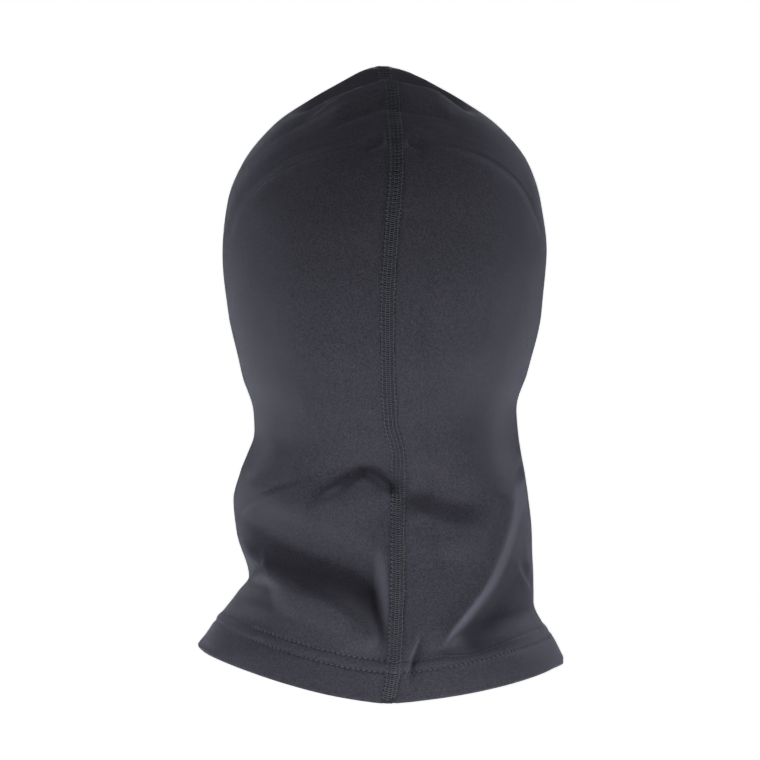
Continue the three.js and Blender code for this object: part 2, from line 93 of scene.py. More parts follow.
HALF_WIDTH = {
    "left": [
        (11, 1), (4, 24.5), (-6.4, 44), (-16.7, 59.5), (-37.5, 75.7), (-58, 82.5), (-84, 84.3), (-115, 81),
        (-146, 73.8), (-167, 68.2), (-177, 68), (-188, 71.6), (-198, 75.4), (-213, 78.6), (-229, 77.2),
        (-252, 70.6), (-260, 76.3), (-271, 85.4), (-281, 92.4), (-291, 99.6), (-300, 101.5), (-312, 104)],
    "right": [
        (11, 1), (4, 21), (-6.4, 39), (-16.7, 54), (-37.5, 72), (-58, 80), (-84, 83.7), (-115, 81),
        (-146, 73.8), (-164, 68.6), (-177, 69.8), (-188, 71.4), (-198, 73), (-229, 75.8), (-265, 76.2),
        (-276, 82), (-281, 86), (-292, 92), (-298, 95), (-312, 101)]}
ROUNDNESS_BACK = [(11, 1.35), (-50, 2.3), (-312, 2.1)]
ROUNDNESS_FRONT = [(11, 1.35), (-60, 2.2), (-150, 2), (-215, 1.75), (-262, 2), (-312, 2.1)]
SEAM_X = [
    (11, 1), (5, -3), (-6, -4.7), (-32, -6.5), (-74, -3.4), (-110, -1.6), (-136, -1.8), (-167, -3.1),
    (-186, -7.2), (-245, -7), (-291, -5.2), (-312, -2)]
FRONT_SHARE = [  # how far up the chin seam a ring lies, by how far up the back seam
    (0, 0), (0.05, 0.15), (0.25, 0.25), (0.4, 0.33), (0.55, 0.45), (0.7, 0.63), (0.85, 0.82), (1, 1)]


def through_points(points):
    """A smooth curve through (x, y) points that never overshoots them (Fritsch-Carlson)."""
    xs, ys = np.array(points, float).T
    slopes = np.diff(ys) / np.diff(xs)
    tangents = np.concatenate([slopes[:1], np.zeros(len(xs) - 2), slopes[-1:]])
    same = slopes[:-1] * slopes[1:] > 0
    inner = 2 * slopes[:-1] * slopes[1:] / np.where(same, slopes[:-1] + slopes[1:], 1)
    tangents[1:-1] = np.where(same, inner, 0)

    def curve(x):
        x = np.clip(np.asarray(x, float), xs[0], xs[-1])
        i = np.clip(np.searchsorted(xs, x, side="right") - 1, 0, len(xs) - 2)
        h = xs[i + 1] - xs[i]
        t = (x - xs[i]) / h
        rise = ys[i + 1] - ys[i]
        a, b = h * tangents[i], h * tangents[i + 1]
        return ys[i] + t * (a + t * (3 * rise - 2 * a - b + t * (a + b - 2 * rise)))

    return curve


def outline(points):
    """An outline by height. Its variable is the root of the depth below the peak, so the crown closes
    roundly."""
    curve = through_points([(np.sqrt(CROWN_TOP - z), value) for z, value in points])
    return lambda z: curve(np.sqrt(np.maximum(0, CROWN_TOP - np.asarray(z, float))))


back_y, front_y, widest_y = outline(BACK_Y), outline(FRONT_Y), outline(WIDEST_Y)
half_width = {side: outline(points) for side, points in HALF_WIDTH.items()}
roundness_back, roundness_front = outline(ROUNDNESS_BACK), outline(ROUNDNESS_FRONT)
seam_x = outline(SEAM_X)
front_share = through_points(FRONT_SHARE)


def reach(side, y, z):
    """How far the form reaches sideways at a point (y, z) of its middle plane."""
    middle = widest_y(z)
    behind = y > middle
    depth = np.where(behind, back_y(z) - middle, middle - front_y(z))
    power = np.where(behind, roundness_back(z), roundness_front(z))
    share = np.minimum(1, np.abs(y - middle) / np.maximum(depth, 1e-6))
    return half_width[side](z) * (1 - share**power) ** (1 / power)


def polyline(points):
    """The arc length at each of the points, and a function that gives the point at a distance along
    them."""
    along = np.concatenate([[0], np.cumsum(np.linalg.norm(np.diff(points, axis=0), axis=1))])
    return along, lambda d: np.stack([np.interp(d, along, points[:, k]) for k in range(points.shape[1])], -1)


def profile_line(y, from_z, to_z, samples=400):
    root = np.linspace(math.sqrt(CROWN_TOP - from_z), math.sqrt(CROWN_TOP - to_z), samples + 1)
    z = CROWN_TOP - root**2
    return np.stack([y(z), z], -1)


back_line = np.concatenate([
    profile_line(back_y, HEM_BACK_Z, CROWN_TOP), profile_line(front_y, CROWN_TOP, OPENING_TOP_Z)[1:]])
back_along, back_seam = polyline(back_line)
chin_along, chin_seam = polyline(profile_line(front_y, HEM_FRONT_Z, OPENING_BOTTOM_Z))
BACK_LENGTH, CHIN_LENGTH = back_along[-1], chin_along[-1]


def smoothstep(x, low, high):
    t = np.clip((np.asarray(x, float) - low) / (high - low), 0, 1)
    return t * t * (3 - 2 * t)


def straight_middle(v):
    return (back_seam(v * BACK_LENGTH)[..., 0] + chin_seam(front_share(v) * CHIN_LENGTH)[..., 0]) / 2


def ring_points(side, v, samples=300):
    """Half a ring round the form, from the back seam to the chin seam. v is 0 at the hem and 1 at the
    opening."""
    back, front = back_seam(v * BACK_LENGTH), chin_seam(front_share(v) * CHIN_LENGTH)
    share = max(0.0, (v - BOW_END) / (1 - BOW_END))
    bowed = straight_middle(BOW_END) + (straight_middle(1.0) + OPENING_BOW - straight_middle(BOW_END)) * share
    bow = bowed - straight_middle(v) if share > 0 else 0.0
    rise = HEM_RISE[side] * (1 - smoothstep(v, 0.03, 0.3))
    s = np.cos(np.pi * np.arange(samples + 1) / samples)
    swell = np.maximum(0, 1 - s * s)
    y = front[0] + (back[0] - front[0]) * (1 + s) / 2 + bow * swell
    z = front[1] + (back[1] - front[1]) * (1 + s) / 2
    if rise > 0:  # a point that climbs follows the flare inwards
        climbed = z + rise * swell**HEM_CURVE
        y = y + (back_y(climbed) - back_y(z)) * (1 + s) / 2 + (front_y(climbed) - front_y(z)) * (1 - s) / 2
        z = climbed
    x = reach(side, y, z)
    x[[0, -1]] = 0
    sign = 1 if side == "left" else -1
    return np.stack([sign * (EDGE_GAP / 2 + x) + seam_x(z) * ((1 + s) / 2) ** SEAM_PULL, y, z], -1)


# ---- a fine grid over each half ------------------------------------------------------------------
EDGE_GAP = -0.12  # the panels' edges just lap under the flatlock, so no light shows through
FINE_ROW = 0.8  # height of a row of the grid near the hem
ROW = 1.75  # and above it
HEM_ZONE = 27  # how far up the fine rows go
NEAR_SEAM = np.array([  # columns at these distances from each seam
    0, 0.5, 1, 1.5, 2, 2.5, 2.9, 3.2, 3.5, 3.8, 4.2, 4.7, 5.3, 6, 7, 8, 9, 10, 11, 12.1, 13.4, 15])
MIDDLE_COLUMNS = 92
COLUMN_DRIFT = 0.02  # how much a row's columns even out over the row above
LEAST_COLUMN = 0.7  # the least width of a column


def row_distances():
    low = np.arange(0, HEM_ZONE, FINE_ROW)
    return np.concatenate([low, np.linspace(low[-1], BACK_LENGTH, round((BACK_LENGTH - low[-1]) / ROW))[1:]])


def nearest_on(points, along, wanted):
    """The distances along a line of points that lie nearest to the wanted points."""
    a, d = points[:-1], np.diff(points, axis=0)
    t = np.einsum("ijk,jk->ij", wanted[:, None] - a[None], d) / np.maximum((d * d).sum(1), 1e-12)
    t = np.clip(t, 0, 1)
    gap = np.linalg.norm(wanted[:, None] - (a[None] + t[..., None] * d[None]), axis=2)
    j = gap.argmin(1)
    return along[j] + t[np.arange(len(j)), j] * (along[j + 1] - along[j])


def fine_grid(side):
    """Points of the half, row by row from the hem to the face opening."""
    rows = row_distances() / BACK_LENGTH
    inner = slice(len(NEAR_SEAM), -len(NEAR_SEAM))
    grid = np.zeros((len(rows), 2 * len(NEAR_SEAM) + MIDDLE_COLUMNS, 3))
    for r in range(len(rows) - 1, -1, -1):
        ring = ring_points(side, rows[r])
        along, at = polyline(ring)
        middle = np.linspace(NEAR_SEAM[-1], along[-1] - NEAR_SEAM[-1], MIDDLE_COLUMNS + 2)[1:-1]
        if r < len(rows) - 1:
            square = nearest_on(ring, along, grid[r + 1, inner])
            middle = square + (middle - square) * COLUMN_DRIFT
            spare = LEAST_COLUMN * np.arange(1, MIDDLE_COLUMNS + 1)
            middle = np.maximum(middle, NEAR_SEAM[-1] + spare)
            middle = np.minimum(middle, along[-1] - NEAR_SEAM[-1] - spare[::-1])
        grid[r] = at(np.concatenate([NEAR_SEAM, middle, along[-1] - NEAR_SEAM[::-1]]))
    return grid


def grid_normals(grid, side):
    across, along = np.gradient(grid, axis=1), np.gradient(grid, axis=0)
    n = np.cross(across, along) * (-1 if side == "left" else 1)
    n[:, [0, -1], 0] = 0  # both panels turn the same way at a seam
    return n / np.maximum(np.linalg.norm(n, axis=2, keepdims=True), 1e-12)


def distance_along(grid, axis):
    """How far each point of a grid lies from the grid's first row (axis 0) or column (axis 1)."""
    steps = np.linalg.norm(np.diff(grid, axis=axis), axis=2)
    return np.concatenate([np.zeros_like(steps.take([0], axis)), np.cumsum(steps, axis=axis)], axis=axis)


# ---- sculpting: folds, dents and puckers ---------------------------------------------------------
def fold(line, profile, ends=(12, 12)):
    """A fold along a line in a chart. profile is [signed distance, height] pairs across it, the distance
    positive on the left of the line's direction, and ends the lengths over which it fades out."""
    return {"line": np.array(line, float), "profile": np.array(profile, float).T, "ends": ends}


def fold_height(f, points, samples=160):
    """The height of a fold at points of its chart."""
    along, _ = polyline(f["line"])
    knots = np.linspace(0, along[-1], samples)
    line = np.stack([through_points(np.stack([along, f["line"][:, k]], -1))(knots) for k in (0, 1)], -1)
    direction = np.gradient(line, axis=0)
    direction /= np.linalg.norm(direction, axis=1, keepdims=True)
    reachable = np.abs(f["profile"][0]).max() + 1
    low, high = line.min(0) - reachable, line.max(0) + reachable
    height = np.zeros(len(points))
    near = np.flatnonzero(((points > low) & (points < high)).all(1))
    for start in range(0, len(near), 20000):
        chosen = near[start:start + 20000]
        gap = points[chosen, None] - line[None]
        i = (gap**2).sum(2).argmin(1)
        offset = gap[np.arange(len(chosen)), i]
        side = direction[i, 0] * offset[:, 1] - direction[i, 1] * offset[:, 0]
        distance = np.copysign(np.linalg.norm(offset, axis=1), side)
        value = through_points(f["profile"].T)(distance)
        value[np.abs(distance) >= reachable - 1] = 0
        passed, left = knots[i], knots[-1] - knots[i]
        fade = smoothstep(passed, 0, f["ends"][0]) * smoothstep(left, 0, f["ends"][1])
        height[chosen] = value * fade
    return height


# The crown, seen from above as (x, y): a dip behind the peak, a ridge, a dent, a second ridge and two
# creases.
CROWN_FOLDS = [
    fold([(50, 13), (34, 10), (16, 7), (0, 5), (-16, 7), (-34, 10), (-50, 13)],
         [(-11, 0), (-6, -4.0), (0, -7.0), (6, -4.4), (15, 0)], (20, 20)),
    fold([(40, 42), (32, 36.5), (23, 32.6), (12.7, 30), (7, 28.5), (0, 26), (-6, 28), (-13, 29),
          (-23.6, 26.5), (-34, 26),
          (-45, 29)],
         [(-21, 0), (-17, -1.0), (-15.2, -0.2), (-12.6, 3.2), (-8, 4.6), (0, 4.6), (2.5, 3.4),
          (6, 0)], (20, 20)),
    fold([(9, 38.5), (3, 40), (-2, 40.5)],
         [(-5, 0), (-1.3, -1.2), (0, -2.2), (1.3, -0.4), (4, 0.4), (6, 0)], (4, 2)),
    fold([(34, 50), (18, 56), (-6, 58.5), (-30, 54), (-38, 50)],
         [(-6, 0), (-2, 0.7), (0, 1.0), (2, 0.8), (7, 0)], (16, 14)),
    fold([(14, 68.5), (6, 66), (-1, 63.5)],
         [(-7, 0), (-2.4, -1.6), (0, -3.2), (2, -0.4), (5, 0.8), (8, 0)], (6, 2)),
    fold([(-11, 64), (-17, 66), (-25, 68)],
         [(-7, 0), (-2.4, -1.6), (0, -3.0), (2, -0.4), (5, 0.8), (8, 0)], (2, 8)),
]

# The back, as (x, z) with x to the wearer's left. A fold here goes in, and comes out again as a shelf to
# its crest.
BACK_FOLDS = [
    # The bend at the nape: a peaked shelf left of the seam, whose wings fall to both sides.
    fold([(40, -215), (30, -207), (19, -199.5), (10, -194.5), (3, -198.5), (-3, -205), (-7, -209)],
         [(-20, 0), (-9, -3.6), (-4, -5.2), (2.5, 3.6), (6, 3.8), (20, 0)], (18, 10)),
    # Right of the seam it runs on, wide and soft.
    fold([(-6, -205), (-22, -211), (-38, -216), (-58, -218)],
         [(-22, 0), (-11, -3.6), (-6, -4.6), (6, 3.2), (12, 3.3), (24, 0)], (12, 18)),
    fold([(-10, -220), (-20, -229), (-32, -236)], [(-14, 0), (-5, -1.5), (5, 1.2), (14, 0)], (10, 12)),
    # The ridge that runs from the right shoulder down to the hem, and the hollow outside it.
    fold([(-68, -197), (-67, -212), (-62, -232), (-54, -250), (-44, -264), (-34, -276), (-27, -287)],
         [(-38, 0), (-30, -3.0), (-20, -13), (-9, -21), (-5.4, -20.5), (-2.6, -10), (-0.9, 2),
          (0, 4.8), (3, 3.4), (9, 1.2),
          (18, 0.4), (28, 0)], (18, 14)),
    # A small shelf over the left of the hem.
    fold([(82, -262), (70, -266), (58, -266.5), (48, -262)],
         [(-24, 0), (-15, -4.5), (-9, -8.5), (-5, -8.5), (2, -1.5), (8, 0)], (8, 12)),
]

# The crest under the left bulge, which turns down beside the seam and ends there.
LEFT_OF_SEAM_FOLDS = [
    fold([(104, -230), (86, -237), (72, -244.5), (54, -252.5), (37, -258.5), (25, -264), (16.5, -271.5),
          (10.5, -280), (8, -290)],
         [(-66, 0), (-54, -0.5), (-40, -3.2), (-28, -11.5), (-20.5, -15), (-13, -8), (-3, 8.6),
          (0, 10), (4, 8.8),
          (15, 2.5), (28, 0)], (8, 12)),
]
LEFT_OF_SEAM = (-3, 6)  # where those folds fade in, along x

# A pinch in the hem, right of the seam.
HEM_FOLDS = [
    fold([(-13, -302), (-14.3, -293), (-17.5, -283), (-23, -270)],
         [(-13, 0), (-5, 2.4), (-2.4, 2.0), (0, -3.2), (2.4, -2.0), (6, 0.7), (12, 0)], (9, 18)),
]

# The front below the face opening, as (x, z): slack gathered under the chin.
FRONT_FOLDS = [
    fold([(58, -196), (30, -207), (4, -211), (-26, -206), (-52, -194)],
         [(-11, 0), (-5, 0.9), (0, -1.6), (4, -0.8), (9, 1.1), (15, 0)], (22, 22)),
    fold([(40, -226), (18, -234), (-8, -236), (-34, -230)],
         [(-9, 0), (-4, 0.8), (0, -1.5), (5, 0.9), (11, 0)], (16, 16)),
    fold([(-62, -236), (-40, -247), (-14, -252), (12, -250)],
         [(-9, 0), (-4, 0.9), (0, -1.7), (5, 1.0), (11, 0)], (16, 14)),
    fold([(60, -262), (50, -276), (44, -292)], [(-14, 0), (-6, 1.5), (0, 2.2), (6, 1.2), (14, 0)], (12, 6)),
    fold([(-52, -262), (-45, -278), (-41, -294)],
         [(-14, 0), (-6, 1.5), (0, 2.2), (6, 1.2), (14, 0)], (12, 6)),
]

# The sides, as (y, z): the tug from the jaw back to the nape, and slack over the shoulder.
LEFT_FOLDS = [
    fold([(-52, -170), (-26, -182), (8, -190), (30, -194)],
         [(-14, 0), (-6, 0.7), (0, -1.0), (6, 0.6), (14, 0)], (24, 24)),
    fold([(-44, -232), (-14, -244), (20, -246), (48, -236)],
         [(-14, 0), (-6, 1.2), (0, -2.6), (6, 0.6), (15, 0)], (20, 16)),
    fold([(-20, -262), (-12, -280), (-10, -300)],
         [(-16, 0), (-7, 1.2), (0, 2.0), (7, 1.2), (16, 0)], (14, 4)),
]
RIGHT_FOLDS = [
    fold([(-50, -176), (-22, -186), (14, -192), (44, -200)],
         [(-14, 0), (-5, 0.8), (0, -1.5), (5, 0.8), (13, 0)], (24, 20)),
    fold([(-36, -246), (-8, -256), (22, -254), (46, -242)],
         [(-14, 0), (-6, 1.0), (0, -2.0), (6, 0.6), (15, 0)], (20, 16)),
    fold([(18, -266), (24, -284), (27, -302)], [(-16, 0), (-7, 1.0), (0, 1.8), (7, 1.0), (16, 0)], (14, 4)),
]

SIDE_MIDDLE = 4.0  # where the sides are widest, along y

FLATLOCK = (-3.1, -1.05, 1.05, 3.1)  # the needle rows of a flatlock, across the seam
STITCH = 2.35  # the length of its stitches
HEM_ROWS = (16.6, 23.0)  # the needle rows of the hem, above its fold
HEM_STITCH = 2.9
HEM_TURN_UP = 24.5  # how high the layer folded up inside reaches
BINDING_WIDTH = 9.0
BINDING_ROWS = (2.4, 7.0)  # the needle rows of the binding, from its fold


def swirl(points, size, seed, octaves=2):
    """Smooth noise between about -1 and 1 at points in millimetres."""
    shift = Vector((seed * 17.3, seed * -9.1, seed * 5.7))
    return np.array([noise.fractal(Vector(p) / size + shift, 1.0, 2.0, octaves) for p in points])


def coarse_swirl(grid, size, seed, step=4):
    """The same noise, worked out on every few rows and columns of a grid and spread between them."""
    rows = np.unique(np.append(np.arange(0, grid.shape[0], step), grid.shape[0] - 1))
    columns = np.unique(np.append(np.arange(0, grid.shape[1], step), grid.shape[1] - 1))
    values = swirl(grid[np.ix_(rows, columns)].reshape(-1, 3), size, seed).reshape(len(rows), len(columns))
    spread = np.stack([np.interp(np.arange(grid.shape[1]), columns, row) for row in values])
    every_row = np.arange(grid.shape[0])
    return np.stack([np.interp(every_row, rows, column) for column in spread.T], -1)


def large_folds(grid):
    """How far the folds together move each point of a grid. Those of the back and the front move it
    straight back and forth, those of the crown up and down, and those of the sides sideways."""
    points = grid.reshape(-1, 3)
    x, y, z = points.T
    calm_hem = (0.15 + 0.85 * smoothstep(distance_along(grid, 0), 13, 36)).ravel()
    on_crown = smoothstep(z, -45, -32)
    on_back = smoothstep(y, -16, 26)
    on_front = 1 - smoothstep(y, -48, -20)
    on_side = smoothstep(np.abs(x), 34, 56) * smoothstep(np.abs(y - SIDE_MIDDLE), 6, 30)
    charts = [
        (CROWN_FOLDS, points[:, [0, 1]], on_crown, (0, 0, 1)),
        (BACK_FOLDS, points[:, [0, 2]], on_back * calm_hem, (0, 1, 0)),
        (LEFT_OF_SEAM_FOLDS, points[:, [0, 2]], on_back * calm_hem * smoothstep(x, *LEFT_OF_SEAM), (0, 1, 0)),
        (HEM_FOLDS, points[:, [0, 2]], on_back, (0, 1, 0)),
        (FRONT_FOLDS, points[:, [0, 2]], on_front * calm_hem, (0, -1, 0)),
        (LEFT_FOLDS, points[:, [1, 2]], on_side * (x > 0), (1, 0, 0)),
        (RIGHT_FOLDS, points[:, [1, 2]], on_side * (x < 0), (-1, 0, 0)),
    ]
    move = np.zeros((len(points), 3))
    for folds, chart, weight, direction in charts:
        height = sum(fold_height(f, chart) for f in folds) * weight
        move += height[:, None] * np.array(direction)
    return move.reshape(grid.shape)


def bump(distance, width):
    return np.exp(-((distance / width) ** 2))


def seam_relief(distance, along, grid):
    """The raised strip of a flatlock, its ditches, and the puckers beside it. Over the crown it lies
    nearly flat."""
    flat = 1 - 0.7 * smoothstep(grid[..., 2], -18, -8)
    strip = 0.32 * flat * (1 - smoothstep(distance, 3.0, 4.2))
    ditch = 0.16 * flat * bump(distance - 4.3, 0.9)
    rows = 0.14 * (bump(distance - 1.05, 0.45) + bump(distance - 3.1, 0.4))
    dimples = np.cos(2 * np.pi * along / STITCH) * 0.1 * bump(distance - 3.3, 0.6)
    pucker = coarse_swirl(grid, 7.0, 3) * 0.42 * np.exp(-distance / 9) * smoothstep(distance, 2.5, 5)
    return strip - ditch - rows + dimples + pucker


def hem_relief(distance, around, grid):
    """The two rows of hem stitching, the puff between them, and the edge of the folded layer showing
    through."""
    grooves = sum(0.5 * bump(distance - row, 0.85) for row in HEM_ROWS)
    beat = np.cos(2 * np.pi * around / HEM_STITCH)
    dimples = sum(0.14 * bump(distance - row, 0.8) for row in HEM_ROWS) * beat
    puff = 0.28 * bump(distance - 19.8, 2.0) + 0.22 * bump(distance - 9, 7)
    edge = 0.3 * smoothstep(distance, 23.6, 25.2)
    pucker = coarse_swirl(grid, 8.0, 5) * 0.4 * bump(distance - 19.8, 7)
    return puff - grooves + dimples - edge * bump(distance - 25.2, 6) + pucker


def opening_relief(distance, grid):
    """Fabric drawn in under the binding, with small gathers beside it."""
    gather = coarse_swirl(grid, 6.5, 8) * 0.5 * np.exp(-((distance - BINDING_WIDTH) / 9) ** 2)
    return gather - 0.5 * bump(distance, 8) - 0.25 * bump(distance - BINDING_WIDTH - 1.2, 1.2)


class Half:
    """The outer surface of one half panel: its points, normals and distances from each edge."""

    def __init__(self, side):
        self.side = side
        plain = fine_grid(side)
        plain_normal = grid_normals(plain, side)
        sag = coarse_swirl(plain, 60.0, 1, 6) * 0.9 + coarse_swirl(plain, 22.0, 2) * 0.3
        grid = plain + large_folds(plain) + plain_normal * sag[..., None]
        from_back = distance_along(grid, 1)
        self.around = from_back
        self.from_seam = np.minimum(from_back, from_back[:, -1:] - from_back)
        self.up = distance_along(grid, 0)
        normal = grid_normals(grid, side)
        from_chin = from_back[:, -1:] - from_back
        from_opening = self.up[-1:] - self.up
        relief = seam_relief(from_back, self.up, grid) + seam_relief(from_chin, self.up, grid)
        clear = smoothstep(from_opening, 8, 13)
        relief = relief * (0.3 + 0.7 * clear)
        relief = relief + hem_relief(self.up, from_back, grid) + opening_relief(from_opening, grid)
        self.grid = grid + normal * relief[..., None]
        self.normal = grid_normals(self.grid, side)


halves = {side: Half(side) for side in ("left", "right")}


# ---- meshes --------------------------------------------------------------------------------------
def add_map(mesh, name, values):
    """A uv map from a pair of numbers for each point, in millimetres of cloth or thread."""
    layer = mesh.uv_layers.new(name=name)
    corners = np.zeros(len(mesh.loops), int)
    mesh.loops.foreach_get("vertex_index", corners)
    layer.data.foreach_set("uv", np.asarray(values, np.float32)[corners].ravel())


def make_object(name, points, faces, materials, maps=None, face_material=None):
    """A smooth mesh object from points in millimetres. maps holds a pair of numbers for each point, by
    uv map."""
    mesh = bpy.data.meshes.new(name)
    mesh.from_pydata((np.asarray(points) * MM).tolist(), [], [list(face) for face in faces])
    for material in materials:
        mesh.materials.append(material)
    for map_name, values in (maps or {}).items():
        add_map(mesh, map_name, values)
    if face_material is not None:
        mesh.polygons.foreach_set("material_index", np.asarray(face_material, np.int32))
    mesh.polygons.foreach_set("use_smooth", np.ones(len(mesh.polygons), bool))
    mesh.update()
    made = bpy.data.objects.new(name, mesh)
    bpy.context.scene.collection.objects.link(made)
    return made


def grid_faces(rows, columns, wrap_rows=False, wrap_columns=False):
    """The quads of a grid of points, row by row."""
    r = np.arange(rows if wrap_rows else rows - 1)
    c = np.arange(columns if wrap_columns else columns - 1)
    r, c = np.meshgrid(r, c, indexing="ij")
    r2, c2 = (r + 1) % rows, (c + 1) % columns
    low, high = r * columns, r2 * columns
    return np.stack([low + c, low + c2, high + c2, high + c], -1).reshape(-1, 4)


def outward(points, faces):
    """The faces turned so that the closed surface they make faces outwards."""
    p = np.asarray(points)[np.asarray(faces)]
    volume = np.einsum("ij,ij->", p[:, 0], np.cross(p[:, 1], p[:, 2]) + np.cross(p[:, 2], p[:, 3]))
    return faces if volume > 0 else faces[:, ::-1]


def tube(path, radius, ups, sides=6, closed=False):
    """Points, side faces and end faces of a thread along a path, with the directions that are up at its
    points."""
    path = np.asarray(path, float)
    tangent = np.roll(path, -1, 0) - np.roll(path, 1, 0) if closed else np.gradient(path, axis=0)
    side = unit(np.cross(unit(tangent), ups))
    lift = np.cross(side, unit(tangent))
    turn = 2 * np.pi * np.arange(sides) / sides
    ring = np.cos(turn)[None, :, None] * side[:, None] + np.sin(turn)[None, :, None] * lift[:, None]
    points = (path[:, None] + radius * ring).reshape(-1, 3)
    faces = grid_faces(len(path), sides, wrap_rows=closed, wrap_columns=True).tolist()
    if not closed:
        last = (len(path) - 1) * sides
        faces += [list(range(sides))[::-1], list(range(last, last + sides))]
    return points, faces


def unit(v):
    return v / np.maximum(np.linalg.norm(v, axis=-1, keepdims=True), 1e-12)


# ---- materials -----------------------------------------------------------------------------------
class Nodes:
    """A few short ways to add shader nodes to a material."""

    def __init__(self, name):
        self.material = bpy.data.materials.new(name)
        self.material.use_nodes = True
        self.tree = self.material.node_tree
        self.shader = self.tree.nodes["Principled BSDF"]
        self.place = self.add("ShaderNodeTexCoord").outputs["Object"]

    def add(self, kind, **settings):
        node = self.tree.nodes.new(kind)
        for key, value in settings.items():
            setattr(node, key, value)
        return node

    def link(self, source, socket):
        self.tree.links.new(source, socket)

    def math(self, operation, a, b=None, c=None, clamp=False):
        node = self.add("ShaderNodeMath", operation=operation, use_clamp=clamp)
        for socket, value in zip(node.inputs, (a, b, c)):
            if value is None:
                continue
            if isinstance(value, (int, float)):
                socket.default_value = value
            else:
                self.link(value, socket)
        return node.outputs[0]

    def turns(self, value, period):
        """The cosine of a value that goes round once in each period."""
        return self.math("COSINE", self.math("MULTIPLY", value, 2 * math.pi / period))

    def ridges(self, phase):
        """Rounded ridges: the size of the sine of a phase."""
        return self.math("ABSOLUTE", self.math("SINE", phase))

    def noise(self, vector, scale, detail=2.0, roughness=0.5):
        node = self.add("ShaderNodeTexNoise")
        self.link(vector, node.inputs["Vector"])
        node.inputs["Scale"].default_value = scale
        node.inputs["Detail"].default_value = detail
        node.inputs["Roughness"].default_value = roughness
        return node.outputs["Fac"]

    def ramp(self, factor, stops):
        node = self.add("ShaderNodeValToRGB")
        self.link(factor, node.inputs["Fac"])
        elements = node.color_ramp.elements
        while len(elements) < len(stops):
            elements.new(0.5)
        for element, (position, colour) in zip(elements, stops):
            element.position = position
            element.color = (*colour, 1.0)
        return node.outputs["Color"]

    def mix(self, factor, a, b, blend="MIX"):
        node = self.add("ShaderNodeMix", data_type="RGBA", blend_type=blend)
        for socket, value in ((node.inputs[0], factor), (node.inputs[6], a), (node.inputs[7], b)):
            if isinstance(value, (int, float)):
                socket.default_value = value
            elif isinstance(value, tuple):
                socket.default_value = (*value, 1.0)
            else:
                self.link(value, socket)
        return node.outputs[2]

    def bump(self, height, distance, strength, normal=None):
        node = self.add("ShaderNodeBump")
        self.link(height, node.inputs["Height"])
        node.inputs["Distance"].default_value = distance
        node.inputs["Strength"].default_value = strength
        if normal is not None:
            self.link(normal, node.inputs["Normal"])
        return node.outputs["Normal"]

    def set(self, **values):
        for key, value in values.items():
            self.shader.inputs[key.replace("_", " ")].default_value = value


def cloth_axes(n):
    """The cloth's own coordinates in millimetres: across the wales, and along them."""
    uv = n.add("ShaderNodeUVMap", uv_map="cloth").outputs["UV"]
    split = n.add("ShaderNodeSeparateXYZ")
    n.link(uv, split.inputs[0])
    return split.outputs[0], split.outputs[1]


WALE, COURSE = 0.86, 0.72  # the width and the height of a knit stitch


def knit_height(n):
    """Plain knit: in each wale two legs lean together into a V, and one V stands in the next."""
    across, along = cloth_axes(n)
    turn = n.math("FRACT", n.math("DIVIDE", across, WALE))
    lean = n.math("ABSOLUTE", n.math("SUBTRACT", turn, 0.5))
    leg = n.math("SINE", n.math("MULTIPLY", lean, 2 * math.pi))
    phase = n.math("ADD", n.math("DIVIDE", along, COURSE), n.math("MULTIPLY", lean, -1.6))
    wave = n.math("MULTIPLY_ADD", n.turns(phase, 1.0), 0.5, 0.5)
    return n.math("MULTIPLY", leg, n.math("ADD", n.math("MULTIPLY", wave, 0.55), 0.45))


def ring_of(n, distance, row, width):
    """1 on a line at that distance and 0 away from it, as a bell."""
    off = n.math("DIVIDE", n.math("SUBTRACT", distance, row), width)
    return n.math("POWER", math.e, n.math("MULTIPLY", n.math("MULTIPLY", off, off), -1.0))


def needle_hole_shade(n):
    """1 in the small hollows that the needles leave, along the seams and round the hem, 0.62 along each
    flatlock's strip and 0 elsewhere: where painted shade darkens the knit, and where its bump sinks it.
    """
    across, along = cloth_axes(n)
    seam = n.add("ShaderNodeSeparateXYZ")
    n.link(n.add("ShaderNodeUVMap", uv_map="seams").outputs["UV"], seam.inputs[0])
    gap = seam.outputs[0]
    up_beat = n.math("MULTIPLY", n.math("ADD", n.turns(along, STITCH), 1.0), 0.5)
    seam_rows = (FLATLOCK[2], FLATLOCK[3] + 0.3)
    # painted shade in the needle holes, row by row
    shaded_holes = [n.math("MULTIPLY", ring_of(n, gap, row, 0.5), up_beat) for row in seam_rows]
    round_beat = n.math("MULTIPLY", n.math("ADD", n.turns(across, HEM_STITCH), 1.0), 0.5)
    shaded_holes += [n.math("MULTIPLY", ring_of(n, along, row, 0.62), round_beat) for row in HEM_ROWS]
    total = shaded_holes[0]
    for hole in shaded_holes[1:]:
        total = n.math("MAXIMUM", total, hole)
    # painted shade over the strip that each flatlock covers
    strip = n.math("MULTIPLY", n.math("LESS_THAN", gap, FLATLOCK[3] + 0.6), 0.62)
    return n.math("ADD", total, strip, clamp=True)


